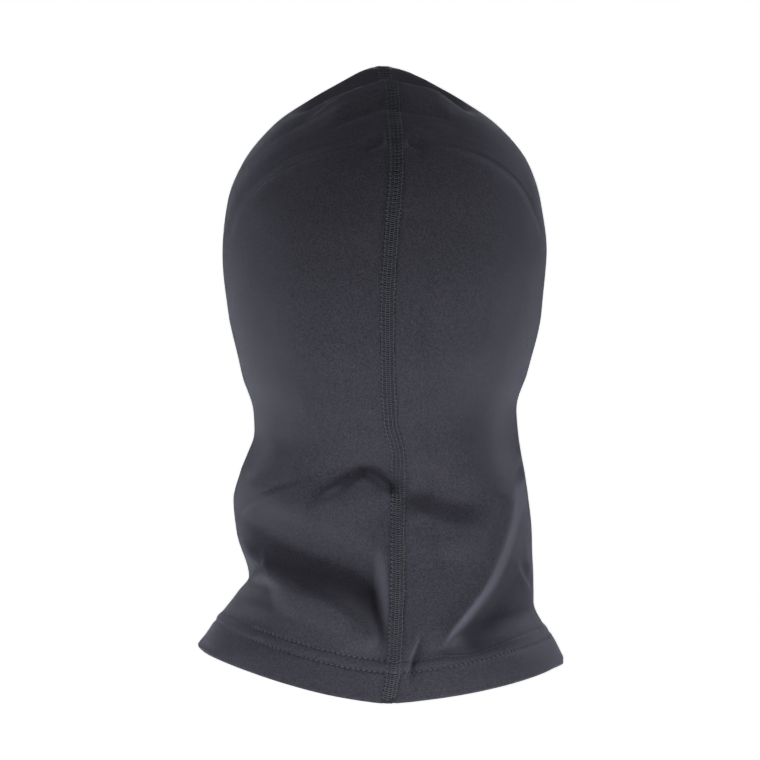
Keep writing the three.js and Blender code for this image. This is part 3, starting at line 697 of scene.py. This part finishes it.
def knit_material(name, dark, light, fuzz, depth):
    """Heathered knit: a V stitch relief, yarns of slightly different shades, and a short fuzz of loose
    fibres, with painted shade in the hollows of the stitches, in the needle holes and under the flatlocks."""
    n = Nodes(name)
    stitches = knit_height(n)
    yarn = n.noise(n.place, 1900.0, 3.0, 0.6)
    heather = n.noise(n.place, 1050.0, 3.0, 0.7)
    cloud = n.noise(n.place, 26.0, 3.0, 0.5)
    shade = n.ramp(heather, [(0.3, dark), (0.72, light)])
    worn = n.ramp(cloud, [(0.25, (0.86, 0.86, 0.88)), (0.75, (1.0, 1.0, 1.0))])
    colour = n.mix(1.0, shade, worn, "MULTIPLY")
    # painted shade: the colour is darker where the stitch relief lies low
    painted_hollow_shade = n.ramp(stitches, [(0.0, (0.72, 0.72, 0.74)), (0.5, (1.0, 1.0, 1.0))])
    colour = n.mix(0.7, colour, painted_hollow_shade, "MULTIPLY")
    fleck = n.ramp(yarn, [(0.4, (0.82, 0.82, 0.82)), (0.56, (1.0, 1.0, 1.0)), (0.72, (1.6, 1.58, 1.6))])
    colour = n.mix(0.8, colour, fleck, "MULTIPLY")
    shaded_holes = needle_hole_shade(n)
    # painted shadow: needle holes and flatlock strips darkened in the colour; the same mask also sinks them
    # by bump
    shadow = tuple(part * 0.25 for part in dark)
    colour = n.mix(n.math("MULTIPLY", shaded_holes, 0.8), colour, shadow)
    n.link(colour, n.shader.inputs["Base Color"])
    n.link(n.math("MULTIPLY_ADD", heather, 0.16, 0.8), n.shader.inputs["Roughness"])
    relief = n.bump(stitches, 0.00022 * depth, 0.75)
    relief = n.bump(yarn, 0.00012 * fuzz, 0.7, relief)
    relief = n.bump(cloud, 0.0012, 0.25, relief)
    relief = n.bump(n.math("MULTIPLY", shaded_holes, -1.0), 0.0005, 0.6, relief)
    n.link(relief, n.shader.inputs["Normal"])
    n.set(Sheen_Weight=0.25, Sheen_Roughness=0.34, Specular_IOR_Level=0.12)
    n.shader.inputs["Sheen Tint"].default_value = (0.74, 0.76, 0.96, 1.0)
    return n.material


def thread_material(name, dark, light):
    """Two-ply sewing thread: twisted plies with a faint lustre, and painted shade in the grooves between
    them.
    """
    n = Nodes(name)
    along, around = cloth_axes(n)
    twist = n.math("ADD", n.math("MULTIPLY", along, 9.0), n.math("MULTIPLY", around, 6.5))
    ply = n.ridges(twist)
    fibre = n.noise(n.place, 2600.0, 2.0)
    colour = n.mix(fibre, dark, light)
    # painted shade: darker in the grooves between the plies
    shaded = n.ramp(ply, [(0.0, (0.6, 0.6, 0.62)), (0.5, (1.0, 1.0, 1.0))])
    n.link(n.mix(1.0, colour, shaded, "MULTIPLY"), n.shader.inputs["Base Color"])
    n.link(n.bump(ply, 0.00008, 0.8, n.bump(fibre, 0.00004, 0.5)), n.shader.inputs["Normal"])
    n.set(Roughness=0.62, Sheen_Weight=0.12, Sheen_Roughness=0.4, Specular_IOR_Level=0.35)
    return n.material


def binding_material():
    """Elastic binding: fine lengthwise ribs crossed by the closer weft of the elastic, with painted shade in
    the hollows between them.
    """
    n = Nodes("charcoal_binding")
    along, across = cloth_axes(n)
    ribs = n.ridges(n.math("MULTIPLY", across, math.pi / 0.62))
    weft = n.ridges(n.math("MULTIPLY", along, math.pi / 0.42))
    weave = n.math("MULTIPLY", ribs, n.math("ADD", n.math("MULTIPLY", weft, 0.4), 0.6))
    speckle = n.noise(n.place, 700.0, 3.0, 0.6)
    shade = n.mix(speckle, (0.024, 0.024, 0.030), (0.046, 0.046, 0.056))
    # painted shade: darker in the hollows of the ribs and weft
    painted_hollow_shade = n.ramp(weave, [(0.0, (0.6, 0.6, 0.62)), (0.45, (1.0, 1.0, 1.0))])
    n.link(n.mix(1.0, shade, painted_hollow_shade, "MULTIPLY"), n.shader.inputs["Base Color"])
    n.link(n.bump(weave, 0.00018, 0.8, n.bump(speckle, 0.00006, 0.5)), n.shader.inputs["Normal"])
    n.set(Roughness=0.8, Sheen_Weight=0.15, Sheen_Roughness=0.45, Specular_IOR_Level=0.25)
    return n.material


def satin_material():
    """White satin ribbon: long floats along it, with woven edges, and painted shade in the hollows between
    the floats.
    """
    n = Nodes("label_satin")
    across, along = cloth_axes(n)
    floats = n.ridges(n.math("MULTIPLY", across, math.pi / 0.28))
    bind = n.ridges(n.math("ADD", n.math("MULTIPLY", along, 3.2), n.math("MULTIPLY", across, 2.1)))
    weave = n.math("MULTIPLY", floats, n.math("ADD", n.math("MULTIPLY", bind, 0.3), 0.7))
    tone = n.noise(n.place, 160.0, 3.0)
    shade = n.mix(tone, (0.62, 0.62, 0.58), (0.76, 0.76, 0.73))
    # painted shade: darker in the hollows between the floats
    painted_hollow_shade = n.ramp(weave, [(0.0, (0.82, 0.82, 0.8)), (0.5, (1.0, 1.0, 1.0))])
    n.link(n.mix(1.0, shade, painted_hollow_shade, "MULTIPLY"), n.shader.inputs["Base Color"])
    n.link(n.bump(weave, 0.00006, 0.6), n.shader.inputs["Normal"])
    n.set(Roughness=0.42, Anisotropic=0.4, Sheen_Weight=0.1, Specular_IOR_Level=0.45)
    return n.material


knit = knit_material("charcoal_knit", (0.019, 0.019, 0.026), (0.053, 0.052, 0.065), 1.0, 1.0)
brushed = knit_material("charcoal_knit_inside", (0.034, 0.034, 0.043), (0.062, 0.061, 0.074), 2.6, 0.35)
thread = thread_material("charcoal_thread", (0.022, 0.024, 0.031), (0.058, 0.062, 0.078))
elastane = binding_material()
satin = satin_material()


# ---- the panels ----------------------------------------------------------------------------------
FOLD_RADIUS = 0.68  # middle of the fabric, at the hem's fold
FOLD_STEPS = 8  # facets round a fold


def thick_sheet(outer, inner, wrap=False):
    """Points, faces and a mark for each face (0 outside and edges, 1 inside) of a sheet between two
    grids."""
    rows, columns = outer.shape[:2]
    points = np.concatenate([outer.reshape(-1, 3), inner.reshape(-1, 3)])
    top = grid_faces(rows, columns, wrap_columns=wrap)
    under = top[:, ::-1] + rows * columns
    shift = rows * columns
    c = np.arange(columns if wrap else columns - 1)
    c2 = (c + 1) % columns
    edges = [np.stack([c2, c, c + shift, c2 + shift], -1)]
    last = (rows - 1) * columns
    edges.append(np.stack([c + last, c2 + last, c2 + last + shift, c + last + shift], -1))
    if not wrap:
        r = np.arange(rows - 1) * columns
        edges.append(np.stack([r, r + columns, r + columns + shift, r + shift], -1))
        r = r + columns - 1
        edges.append(np.stack([r + columns, r, r + shift, r + columns + shift], -1))
    edges = np.concatenate(edges)
    faces = np.concatenate([top, edges, under])
    marks = np.concatenate([np.zeros(len(top) + len(edges), int), np.ones(len(under), int)])
    return points, outward(points, faces), marks


def fold_rows(centre, normal, away, radii):
    """The rows of a half-round fold, from the outside round to the inside, at each of the radii."""
    turn = np.linspace(0, np.pi, FOLD_STEPS + 1)[:, None, None]
    direction = np.cos(turn) * normal[None] + np.sin(turn) * away[None]
    return [centre[None] + radius * direction for radius in radii]


def make_panel(half):
    """A half panel with its hem: the rows run down the outside, round the fold and up inside."""
    grid, normal, up = half.grid, half.normal, half.up
    bare = 2  # rows that the fold takes up
    last = int(np.argmax(up[:, up.shape[1] // 2] > HEM_TURN_UP)) + 1
    down, rise = slice(None, bare, -1), slice(bare + 1, last)
    away = unit(grid[bare] - grid[bare + 1])
    centre = grid[bare] - normal[bare] * (FABRIC / 2 + FOLD_RADIUS)
    radii = (FOLD_RADIUS + FABRIC / 2, FOLD_RADIUS - FABRIC / 2)
    outer_fold, inner_fold = fold_rows(centre, normal[bare], away, radii)
    depth = FABRIC + 2 * FOLD_RADIUS
    outer = np.concatenate([grid[down], outer_fold, grid[rise] - normal[rise] * depth])
    hidden = grid[rise] - normal[rise] * (depth - FABRIC)
    inner = np.concatenate([grid[down] - normal[down] * FABRIC, inner_fold, hidden])

    def by_row(values):
        at_fold = np.repeat(values[bare:bare + 1], FOLD_STEPS + 1, 0)
        return np.concatenate([values[down], at_fold, values[rise]])

    fold_up = np.repeat(np.linspace(1, -1, FOLD_STEPS + 1)[:, None] * 1.5, up.shape[1], 1)
    v = np.concatenate([up[down], fold_up, -up[rise]])
    cloth = np.stack([by_row(half.around), v], -1).reshape(-1, 2)
    seams = np.stack([by_row(half.from_seam), v], -1).reshape(-1, 2)
    points, faces, marks = thick_sheet(outer, inner)
    piece = make_object(
        half.side + "_panel_knit", points, faces, [knit, brushed],
        {"cloth": np.tile(cloth, (2, 1)), "seams": np.tile(seams, (2, 1))}, marks)
    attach(piece, "root")
    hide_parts(half.side + "_panel")


for half in halves.values():
    make_panel(half)


# ---- paths on the surface ------------------------------------------------------------------------
def sample(array, row, column):
    """Values of a grid between its rows and columns."""
    row = np.clip(row, 0, array.shape[0] - 1.001)
    column = np.clip(column, 0, array.shape[1] - 1.001)
    r, c = row.astype(int), column.astype(int)
    a, b = (row - r)[..., None], (column - c)[..., None]
    low = array[r, c] * (1 - b) + array[r, c + 1] * b
    high = array[r + 1, c] * (1 - b) + array[r + 1, c + 1] * b
    return low * (1 - a) + high * a


def seam_path(seam, up, offset, height):
    """Points at distances up a seam from the hem and offsets across it (left positive), lifted off the cloth.
    Also their normals."""
    up, offset = np.broadcast_arrays(np.asarray(up, float), np.asarray(offset, float))
    points, normals = np.zeros((len(up), 3)), np.zeros((len(up), 3))
    for side, chosen in (("left", offset >= 0), ("right", offset < 0)):
        half = halves[side]
        edge = 0 if seam == "back" else half.grid.shape[1] - 1
        row = np.interp(up[chosen], half.up[:, edge], np.arange(half.grid.shape[0]))
        step = np.interp(np.abs(offset[chosen]), NEAR_SEAM, np.arange(len(NEAR_SEAM)))
        column = step if seam == "back" else edge - step
        points[chosen] = sample(half.grid, row, column)
        normals[chosen] = unit(sample(half.normal, row, column))
    return points + normals * np.broadcast_to(height, (len(up),))[:, None], normals


def seam_length(seam):
    half = halves["left"]
    return half.up[-1, 0 if seam == "back" else -1]


def make_thread(name, node, path, ups, radius, sides=6, closed=False):
    """A sewing thread along a path. Its uv runs along it and round it, in millimetres."""
    points, faces = tube(path, radius, ups, sides, closed)
    along, _ = polyline(path)
    around = np.tile(np.arange(sides) / sides * 2 * np.pi * radius, len(path))
    uv = np.stack([np.repeat(along, sides), around], -1)
    piece = make_object(name, points, faces, [thread], {"cloth": uv})
    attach(piece, "root")
    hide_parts(node)


def wander(t, seed, size):
    """Small smooth irregularity along a thread."""
    waves = np.sin(t * 0.71 + seed) + np.sin(t * 0.293 + seed * 2.7) + 0.6 * np.sin(t * 1.93 + seed * 1.3)
    return size * waves / 2.6


def bedded(seam, up):
    """How deep the threads lie in the cloth: the crown draws them in."""
    return 0.24 * smoothstep(back_seam(up)[..., 1], -18, -8) * (seam == "back")


FLATLOCK_START, FLATLOCK_STOP = 1.7, 1.5  # bare seam beside the hem's fold and beside the binding
COVER_REACH, LOOPER_REACH = 3.6, 3.4  # how far the zigzag threads swing to each side


def flatlock_threads(seam):
    """Four needle threads, the cover thread that zigzags over them and the looper thread inside."""
    start, stop = FLATLOCK_START, seam_length(seam) - BINDING_WIDTH - FLATLOCK_STOP
    for i, offset in enumerate(FLATLOCK):
        up = np.arange(start, stop, STITCH / 8)
        dive = np.abs(np.sin(np.pi * up / STITCH)) ** 0.6
        across = offset + wander(up, i * 1.7, 0.22)
        path, normal = seam_path(seam, up, across, -0.42 + 0.8 * dive - bedded(seam, up))
        make_thread(
            f"{seam}_seam_needle_stitches_{i + 1}", f"{seam}_seam_needle_thread_{i + 1}", path, normal, 0.21)
    turn = np.arange(start / STITCH, stop / STITCH, 1 / 18)
    swing = np.cos(2 * np.pi * turn)
    across = COVER_REACH * np.sign(swing) * np.abs(swing) ** 0.8 * (1 + wander(turn, 2.0, 0.14))
    up = STITCH * (turn + 0.1 * np.sin(4 * np.pi * turn) + wander(turn, 5.0, 0.12) + 0.5 * np.abs(swing))
    path, normal = seam_path(seam, up, across, 0.28 + 0.12 * np.sin(2 * np.pi * turn) - bedded(seam, up))
    make_thread(f"{seam}_seam_cover_stitches", f"{seam}_seam_cover_thread", path, normal, 0.22)
    turn = np.arange((HEM_TURN_UP + 1) / STITCH, stop / STITCH, 1 / 16)
    swing = np.cos(2 * np.pi * turn + 0.6)
    up = STITCH * (turn + 0.1 * np.sin(4 * np.pi * turn))
    path, normal = seam_path(seam, up, LOOPER_REACH * swing, -FABRIC - 0.16 - 0.08 * np.abs(swing))
    make_thread(f"{seam}_seam_looper_stitches", f"{seam}_seam_looper_thread", path, normal, 0.2, sides=5)


flatlock_threads("back")
flatlock_threads("chin")


def round_hem(distance, step):
    """Points and normals once round the hem, that far above its fold, and how far each is from a seam."""
    points, normals, gaps = [], [], []
    for side, order in (("left", 1), ("right", -1)):
        half = halves[side]
        columns = np.arange(half.grid.shape[1])
        row = np.array([np.interp(distance, half.up[:, c], np.arange(half.grid.shape[0])) for c in columns])
        line = sample(half.grid, row, columns.astype(float))
        along, _ = polyline(line)
        wanted = np.arange(0, along[-1], along[-1] / round(along[-1] / step))
        column = np.interp(wanted, along, columns)
        rows = np.interp(column, columns, row)
        gap = np.minimum(wanted, along[-1] - wanted)
        points.append(sample(half.grid, rows, column)[::order])
        normals.append(unit(sample(half.normal, rows, column))[::order])
        gaps.append(gap[::order])
    return np.concatenate(points), np.concatenate(normals), np.concatenate(gaps)


def hem_threads():
    """Two needle threads round the hem, and the looper thread that zigzags between them inside."""
    for name, distance in zip(("lower", "upper"), HEM_ROWS):
        points, normals, gap = round_hem(distance, HEM_STITCH / 8)
        dive = np.abs(np.sin(np.pi * np.arange(len(points)) / 8)) ** 0.6
        over = 0.5 * (1 - smoothstep(gap, 3.2, 4.6))
        path = points + normals * (-0.6 + 0.6 * dive + over)[:, None]
        make_thread(
            f"hem_needle_stitches_{name}", f"hem_needle_thread_{name}", path, normals, 0.22, closed=True)
    low, normals, _ = round_hem(HEM_ROWS[0], HEM_STITCH / 12)
    high, high_normals, _ = round_hem(HEM_ROWS[1], HEM_STITCH / 12)
    share = np.arange(len(low)) / len(low)
    index = np.interp(share, np.arange(len(high)) / len(high), np.arange(len(high)))[:, None]
    nearest = np.clip(np.rint(index[:, 0]).astype(int), 0, len(high) - 1)
    turn = 2 * np.pi * np.arange(len(low)) / 12
    swing = (0.5 + 0.52 * np.cos(turn))[:, None]
    depth = FABRIC + 2 * FOLD_RADIUS + 0.2
    facing = unit(normals * swing + high_normals[nearest] * (1 - swing))
    path = low * swing + high[nearest] * (1 - swing) - facing * depth
    make_thread("hem_looper_stitches", "hem_looper_thread", path, normals, 0.2, sides=5, closed=True)


hem_threads()


# ---- the face binding ----------------------------------------------------------------------------
def surface_tree():
    """The outer faces of both halves, for finding the nearest place on the cloth."""
    points, faces, start = [], [], 0
    for half in halves.values():
        rows, columns = half.grid.shape[:2]
        points.append(half.grid.reshape(-1, 3))
        faces.append(grid_faces(rows, columns) + start)
        start += rows * columns
    return BVHTree.FromPolygons(np.concatenate(points).tolist(), np.concatenate(faces).tolist())


def edge_of_opening(step=1.3):
    """Points, normals and inward directions once round the edge of the face opening."""
    points, normals = [], []
    for side, order in (("left", 1), ("right", -1)):
        half = halves[side]
        line = half.grid[-1]
        along, at = polyline(line)
        wanted = np.arange(0, along[-1], along[-1] / round(along[-1] / step))
        column = np.interp(wanted, along, np.arange(len(line)))
        row = np.full(len(column), half.grid.shape[0] - 1.0)
        points.append(at(wanted)[::order])
        normals.append(unit(sample(half.normal, row, column))[::order])
    points, normals = np.concatenate(points), np.concatenate(normals)
    for _ in range(6):
        normals = unit(np.roll(normals, 1, 0) + 2 * normals + np.roll(normals, -1, 0))
    tangent = unit(np.roll(points, -1, 0) - np.roll(points, 1, 0))
    inward = unit(np.cross(tangent, normals))
    if (inward * (points - points.mean(0))).sum() < 0:
        inward = -inward
    return points, normals, inward


def march(points, normals, inward, distances):
    """Points and normals at distances from the opening's edge, over the cloth: a row for each distance."""
    tree = surface_tree()
    rows, row_normals = [points], [normals]
    here, heading, facing = points.copy(), inward.copy(), normals.copy()
    for step in np.diff(np.concatenate([[0], distances])):
        if step <= 0:
            continue
        moved, faced = np.zeros_like(here), np.zeros_like(here)
        for i, place in enumerate(here + heading * step):
            near, n, _, _ = tree.find_nearest(Vector(place))
            moved[i], faced[i] = near, n
        faced *= np.sign((faced * facing).sum(1, keepdims=True))
        facing = unit(facing * 0.6 + faced * 0.4)
        heading = unit(moved - here)
        here = moved
        rows.append(here)
        row_normals.append(facing.copy())
    for _ in range(2):
        rows = [(np.roll(r, 1, 0) + 2 * r + np.roll(r, -1, 0)) / 4 for r in rows]
    return np.array(rows), np.array(row_normals)


LEG = np.linspace(0, BINDING_WIDTH, 13)  # the binding's rows, from its fold
BINDING_THICK = 0.8
BINDING_GAP = 0.12  # between the binding and the cloth on each side
BINDING_STITCH = 2.6
BARTACK_TURNS = 17


def binding_lift(distance):
    """How far the binding's face swells or is drawn in by its stitching, at distances from its fold."""
    rows = sum(0.32 * bump(distance - row, 0.65) for row in BINDING_ROWS)
    return 0.2 * bump(distance - 4.7, 1.6) - rows - 0.22 * smoothstep(distance, 8.3, 9.0)


edge_points, edge_normals, edge_inward = edge_of_opening()
leg_points, leg_normals = march(edge_points, edge_normals, edge_inward, LEG)


def make_binding():
    """A strip of elastic folded over the edge of the opening, with a leg outside and one inside."""
    along, _ = polyline(np.concatenate([edge_points, edge_points[:1]]))
    ruffle = np.array([noise.noise(Vector((a / 5.5, 3.7, 0.0))) for a in along[:-1]]) * 0.18
    lift = (binding_lift(LEG)[:, None] + ruffle)[..., None]
    outer_leg = leg_points + leg_normals * (BINDING_GAP + BINDING_THICK + lift)
    under_leg = leg_points + leg_normals * BINDING_GAP
    inner_leg = leg_points - leg_normals * (FABRIC + BINDING_GAP + BINDING_THICK + lift)
    hidden_leg = leg_points - leg_normals * (FABRIC + BINDING_GAP)
    centre = edge_points - edge_normals * FABRIC / 2
    radius = FABRIC / 2 + BINDING_GAP
    small, big = fold_rows(centre, edge_normals, -edge_inward, (radius, radius + BINDING_THICK))
    outer = np.concatenate([outer_leg[:0:-1], big[1:-1], inner_leg[1:]])
    inner = np.concatenate([under_leg[:0:-1], small[1:-1], hidden_leg[1:]])
    points, faces, _ = thick_sheet(outer, inner, wrap=True)
    across = np.cumsum(np.concatenate([[0], np.linalg.norm(np.diff(outer[:, 0], axis=0), axis=1)]))
    cloth = np.stack(np.broadcast_arrays(along[None, :-1], across[:, None]), -1).reshape(-1, 2)
    piece = make_object("face_binding_strip", points, faces, [elastane], {"cloth": np.tile(cloth, (2, 1))})
    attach(piece, "root")
    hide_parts("face_binding")


def on_binding(distance, step):
    """Points and normals once round the binding, at a distance from its fold."""
    row = np.full(len(edge_points), np.interp(distance, LEG, np.arange(len(LEG))))
    column = np.arange(len(edge_points)).astype(float)
    line, facing = sample(leg_points, row, column), unit(sample(leg_normals, row, column))
    line, facing = (np.concatenate([a, a[:1]]) for a in (line, facing))
    along, at = polyline(line)
    wanted = np.arange(0, along[-1], along[-1] / (8 * round(along[-1] / step / 8)))
    normal = np.stack([np.interp(wanted, along, facing[:, k]) for k in range(3)], -1)
    return at(wanted), unit(normal)


def binding_threads():
    """Two needle threads round the binding, and the looper thread between them inside."""
    for name, distance in zip(("edge", "inner"), BINDING_ROWS):
        points, normals = on_binding(distance, BINDING_STITCH / 8)
        dive = np.abs(np.sin(np.pi * np.arange(len(points)) / 8)) ** 0.5
        height = BINDING_GAP + BINDING_THICK + float(binding_lift(np.array(distance))) - 0.08 + 0.36 * dive
        path = points + normals * height[:, None]
        make_thread(
            f"binding_needle_stitches_{name}", f"binding_needle_thread_{name}", path, normals, 0.2,
            closed=True)
    first, normals = on_binding(BINDING_ROWS[0], BINDING_STITCH / 12)
    second, second_normals = on_binding(BINDING_ROWS[1], BINDING_STITCH / 12)
    nearest = np.rint(np.arange(len(first)) * len(second) / len(first)).astype(int) % len(second)
    turns = round(len(first) / 12)
    swing = (0.5 + 0.5 * np.cos(2 * np.pi * turns * np.arange(len(first)) / len(first)))[:, None]
    depth = FABRIC + BINDING_GAP + BINDING_THICK + 0.25
    facing = unit(normals * swing + second_normals[nearest] * (1 - swing))
    path = first * swing + second[nearest] * (1 - swing) - facing * depth
    make_thread("binding_looper_stitches", "binding_looper_thread", path, facing, 0.19, sides=5, closed=True)


def binding_bartack():
    """Dense stitches across the binding where its ends meet, at the chin."""
    at_chin = int(np.argmin(edge_points[:, 2] + np.abs(edge_points[:, 0])))
    turn = np.arange(0, BARTACK_TURNS, 1 / 10)
    distance = np.interp(turn, [0, BARTACK_TURNS], [1.0, 8.2])
    row = np.interp(distance, LEG, np.arange(len(LEG)))
    column = at_chin + np.interp(turn % 1, [0, 0.5, 1], [-0.8, 0.8, -0.8])
    points, normals = sample(leg_points, row, column), unit(sample(leg_normals, row, column))
    height = BINDING_GAP + BINDING_THICK + binding_lift(distance) + 0.34 + 0.12 * np.cos(2 * np.pi * turn)
    path = points + normals * height[:, None]
    make_thread("binding_bartack_stitches", "binding_bartack", path, normals, 0.19, sides=5)


make_binding()
binding_threads()
binding_bartack()


# ---- the care label ------------------------------------------------------------------------------
LABEL_WIDTH, LABEL_HEIGHT = 26.0, 36.0
LABEL_BESIDE, LABEL_ABOVE = 9.0, 80.0  # its edge from the back seam, and its top from the hem
LABEL_LEAF = 0.3  # the ribbon's thickness


def label_grid(rows=28, columns=20):
    """Points and normals behind the label: inside the nape, left of the seam."""
    half = halves["left"]
    across = np.linspace(LABEL_BESIDE, LABEL_BESIDE + LABEL_WIDTH, columns)
    up = np.linspace(LABEL_ABOVE, LABEL_ABOVE - LABEL_HEIGHT, rows)
    across, up = np.meshgrid(across, up)
    row = np.interp(up, half.up[:, 0], np.arange(half.grid.shape[0]))
    column = np.zeros_like(row)
    for r in range(rows):
        line = half.around[int(round(row[r, 0]))]
        column[r] = np.interp(across[r], line, np.arange(len(line)))
    return sample(half.grid, row, column), unit(sample(half.normal, row, column)), across, up


def make_label():
    """A folded satin ribbon, sewn in by its top edge and loose below."""
    points, normals, across, up = label_grid()
    hang = (LABEL_ABOVE - up) / LABEL_HEIGHT
    curl = (hang**2 * 1.1 + 0.5 * np.sin(across / 5.2 + 0.7) * hang)[..., None]
    loose = smoothstep(hang, 0, 0.3)[..., None]
    gap = (0.15 + 0.35 * hang + 0.15 * np.sin(across / 4.1))[..., None] * loose + 0.08
    middle = FABRIC + 0.9 + LABEL_LEAF + gap + curl
    away = unit(points[-1] - points[-2])
    turn = np.linspace(0, np.pi, 7)[1:-1, None, None]
    direction = np.cos(turn) * normals[-1] + np.sin(turn) * away
    centre = points[-1] - normals[-1] * middle[-1]
    outer_leaf, inner_leaf = (
        np.concatenate([
            points - normals * (middle - thick), centre + direction * thick[-1],
            (points - normals * (middle + thick))[::-1]])
        for thick in (gap + LABEL_LEAF, gap))
    ribbon, faces, _ = thick_sheet(outer_leaf, inner_leaf)
    v = np.cumsum(np.concatenate([[0], np.linalg.norm(np.diff(outer_leaf[:, 0], axis=0), axis=1)]))
    cloth = np.stack(np.broadcast_arrays(across[:1], v[:, None]), -1).reshape(-1, 2)
    piece = make_object("care_label_ribbon", ribbon, faces, [satin], {"cloth": np.tile(cloth, (2, 1))})
    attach(piece, "root")
    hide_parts("care_label")
    label_stitches(points, normals, middle + gap + LABEL_LEAF)


def label_stitches(points, normals, depth, pitch=2.2, below_top=3.0):
    """The line of stitches that holds the label's top edge."""
    line = np.arange(1.0, LABEL_WIDTH - 1.0, pitch / 8)
    column = line / LABEL_WIDTH * (points.shape[1] - 1)
    row = np.full(len(column), below_top / LABEL_HEIGHT * (points.shape[0] - 1))
    facing = unit(sample(normals, row, column))
    dive = np.abs(np.sin(np.pi * line / pitch)) ** 0.5
    lift = sample(depth, row, column)[:, 0] + 0.02 + 0.2 * dive
    path = sample(points, row, column) - facing * lift[:, None]
    make_thread("care_label_stitches", "care_label_stitch", path, facing, 0.16, sides=5)


make_label()


# ---- the studio ----------------------------------------------------------------------------------
FLOOR_BELOW_HEM = 0.35
FLOOR_SIZE = 60.0
STUDIO = ((0, 0.02, -0.15), 2.2, 0.9)  # the point lit, the distance of the soft boxes and their side
BY_THE_SKIRT = ((0, 0.06, -0.3), 0.55, 0.3)  # the same, for small soft boxes close to the hem
LIGHTS = [
    (STUDIO, 40, 0, 16.5), (STUDIO, -80, 0, 21.9), (STUDIO, 150, -25, 19), (STUDIO, -150, -50, 24.7),
    (STUDIO, 0, 88, 20), (STUDIO, 180, 12, 24), (BY_THE_SKIRT, -40, -10, 2.8), (BY_THE_SKIRT, 50, -10, 1.8),
    (BY_THE_SKIRT, 10, -35, 2.6),
]  # azimuth, elevation and watts


def make_stage():
    """A wide pale floor under the piece, which hangs free as on a stand. Only the camera sees it."""
    side = np.linspace(-FLOOR_SIZE / 2, FLOOR_SIZE / 2, 13)
    height = cad_box[0][2] - FLOOR_BELOW_HEM
    points = np.array([[x, y, height] for y in side for x in side])
    piece = make_object("studio_floor", points / MM, grid_faces(len(side), len(side)), [studio_material()])
    piece.visible_diffuse = False
    piece.visible_glossy = False
    piece.visible_shadow = False


def studio_material():
    n = Nodes("studio_paper")
    grain = n.noise(n.place, 2.0, 2.0)
    n.link(n.ramp(grain, [(0.0, (0.9, 0.9, 0.9)), (1.0, (0.93, 0.93, 0.93))]), n.shader.inputs["Base Color"])
    n.set(Roughness=0.9, Specular_IOR_Level=0.1, Emission_Strength=1.0)
    n.shader.inputs["Emission Color"].default_value = (1, 1, 1, 1)
    return n.material


def make_world():
    """Studio air: white at and below the horizon, darker overhead."""
    world = bpy.data.worlds.new("studio")
    world.use_nodes = True
    tree = world.node_tree
    split = tree.nodes.new("ShaderNodeSeparateXYZ")
    tree.links.new(tree.nodes.new("ShaderNodeTexCoord").outputs["Generated"], split.inputs[0])
    sky = tree.nodes.new("ShaderNodeValToRGB")
    tree.links.new(split.outputs[2], sky.inputs["Fac"])
    low, high = sky.color_ramp.elements
    low.position, low.color = 0.25, (1.05, 1.05, 1.05, 1)
    high.position, high.color = 0.9, (0.35, 0.35, 0.36, 1)
    background = tree.nodes["Background"]
    tree.links.new(sky.outputs["Color"], background.inputs["Color"])
    world.cycles_visibility.diffuse = False
    world.cycles_visibility.glossy = False
    bpy.context.scene.world = world


def area_light(rig, azimuth, elevation, power):
    """A square soft box facing a rig's point. Azimuth 0 is behind the head, and +X lies towards 90."""
    point, distance, side = rig
    data = bpy.data.lights.new(f"soft_box_{azimuth}_{elevation}", "AREA")
    data.size = side
    data.energy = power
    box = bpy.data.objects.new(data.name, data)
    bpy.context.scene.collection.objects.link(box)
    turn, rise = math.radians(azimuth), math.radians(elevation)
    away = Vector((math.sin(turn) * math.cos(rise), math.cos(turn) * math.cos(rise), math.sin(rise)))
    box.location = Vector(point) + distance * away
    box.rotation_euler = away.to_track_quat("Z", "Y").to_euler()
    box.visible_camera = False


make_stage()
make_world()
for light in LIGHTS:
    area_light(*light)
bpy.context.scene.view_settings.view_transform = "Standard"
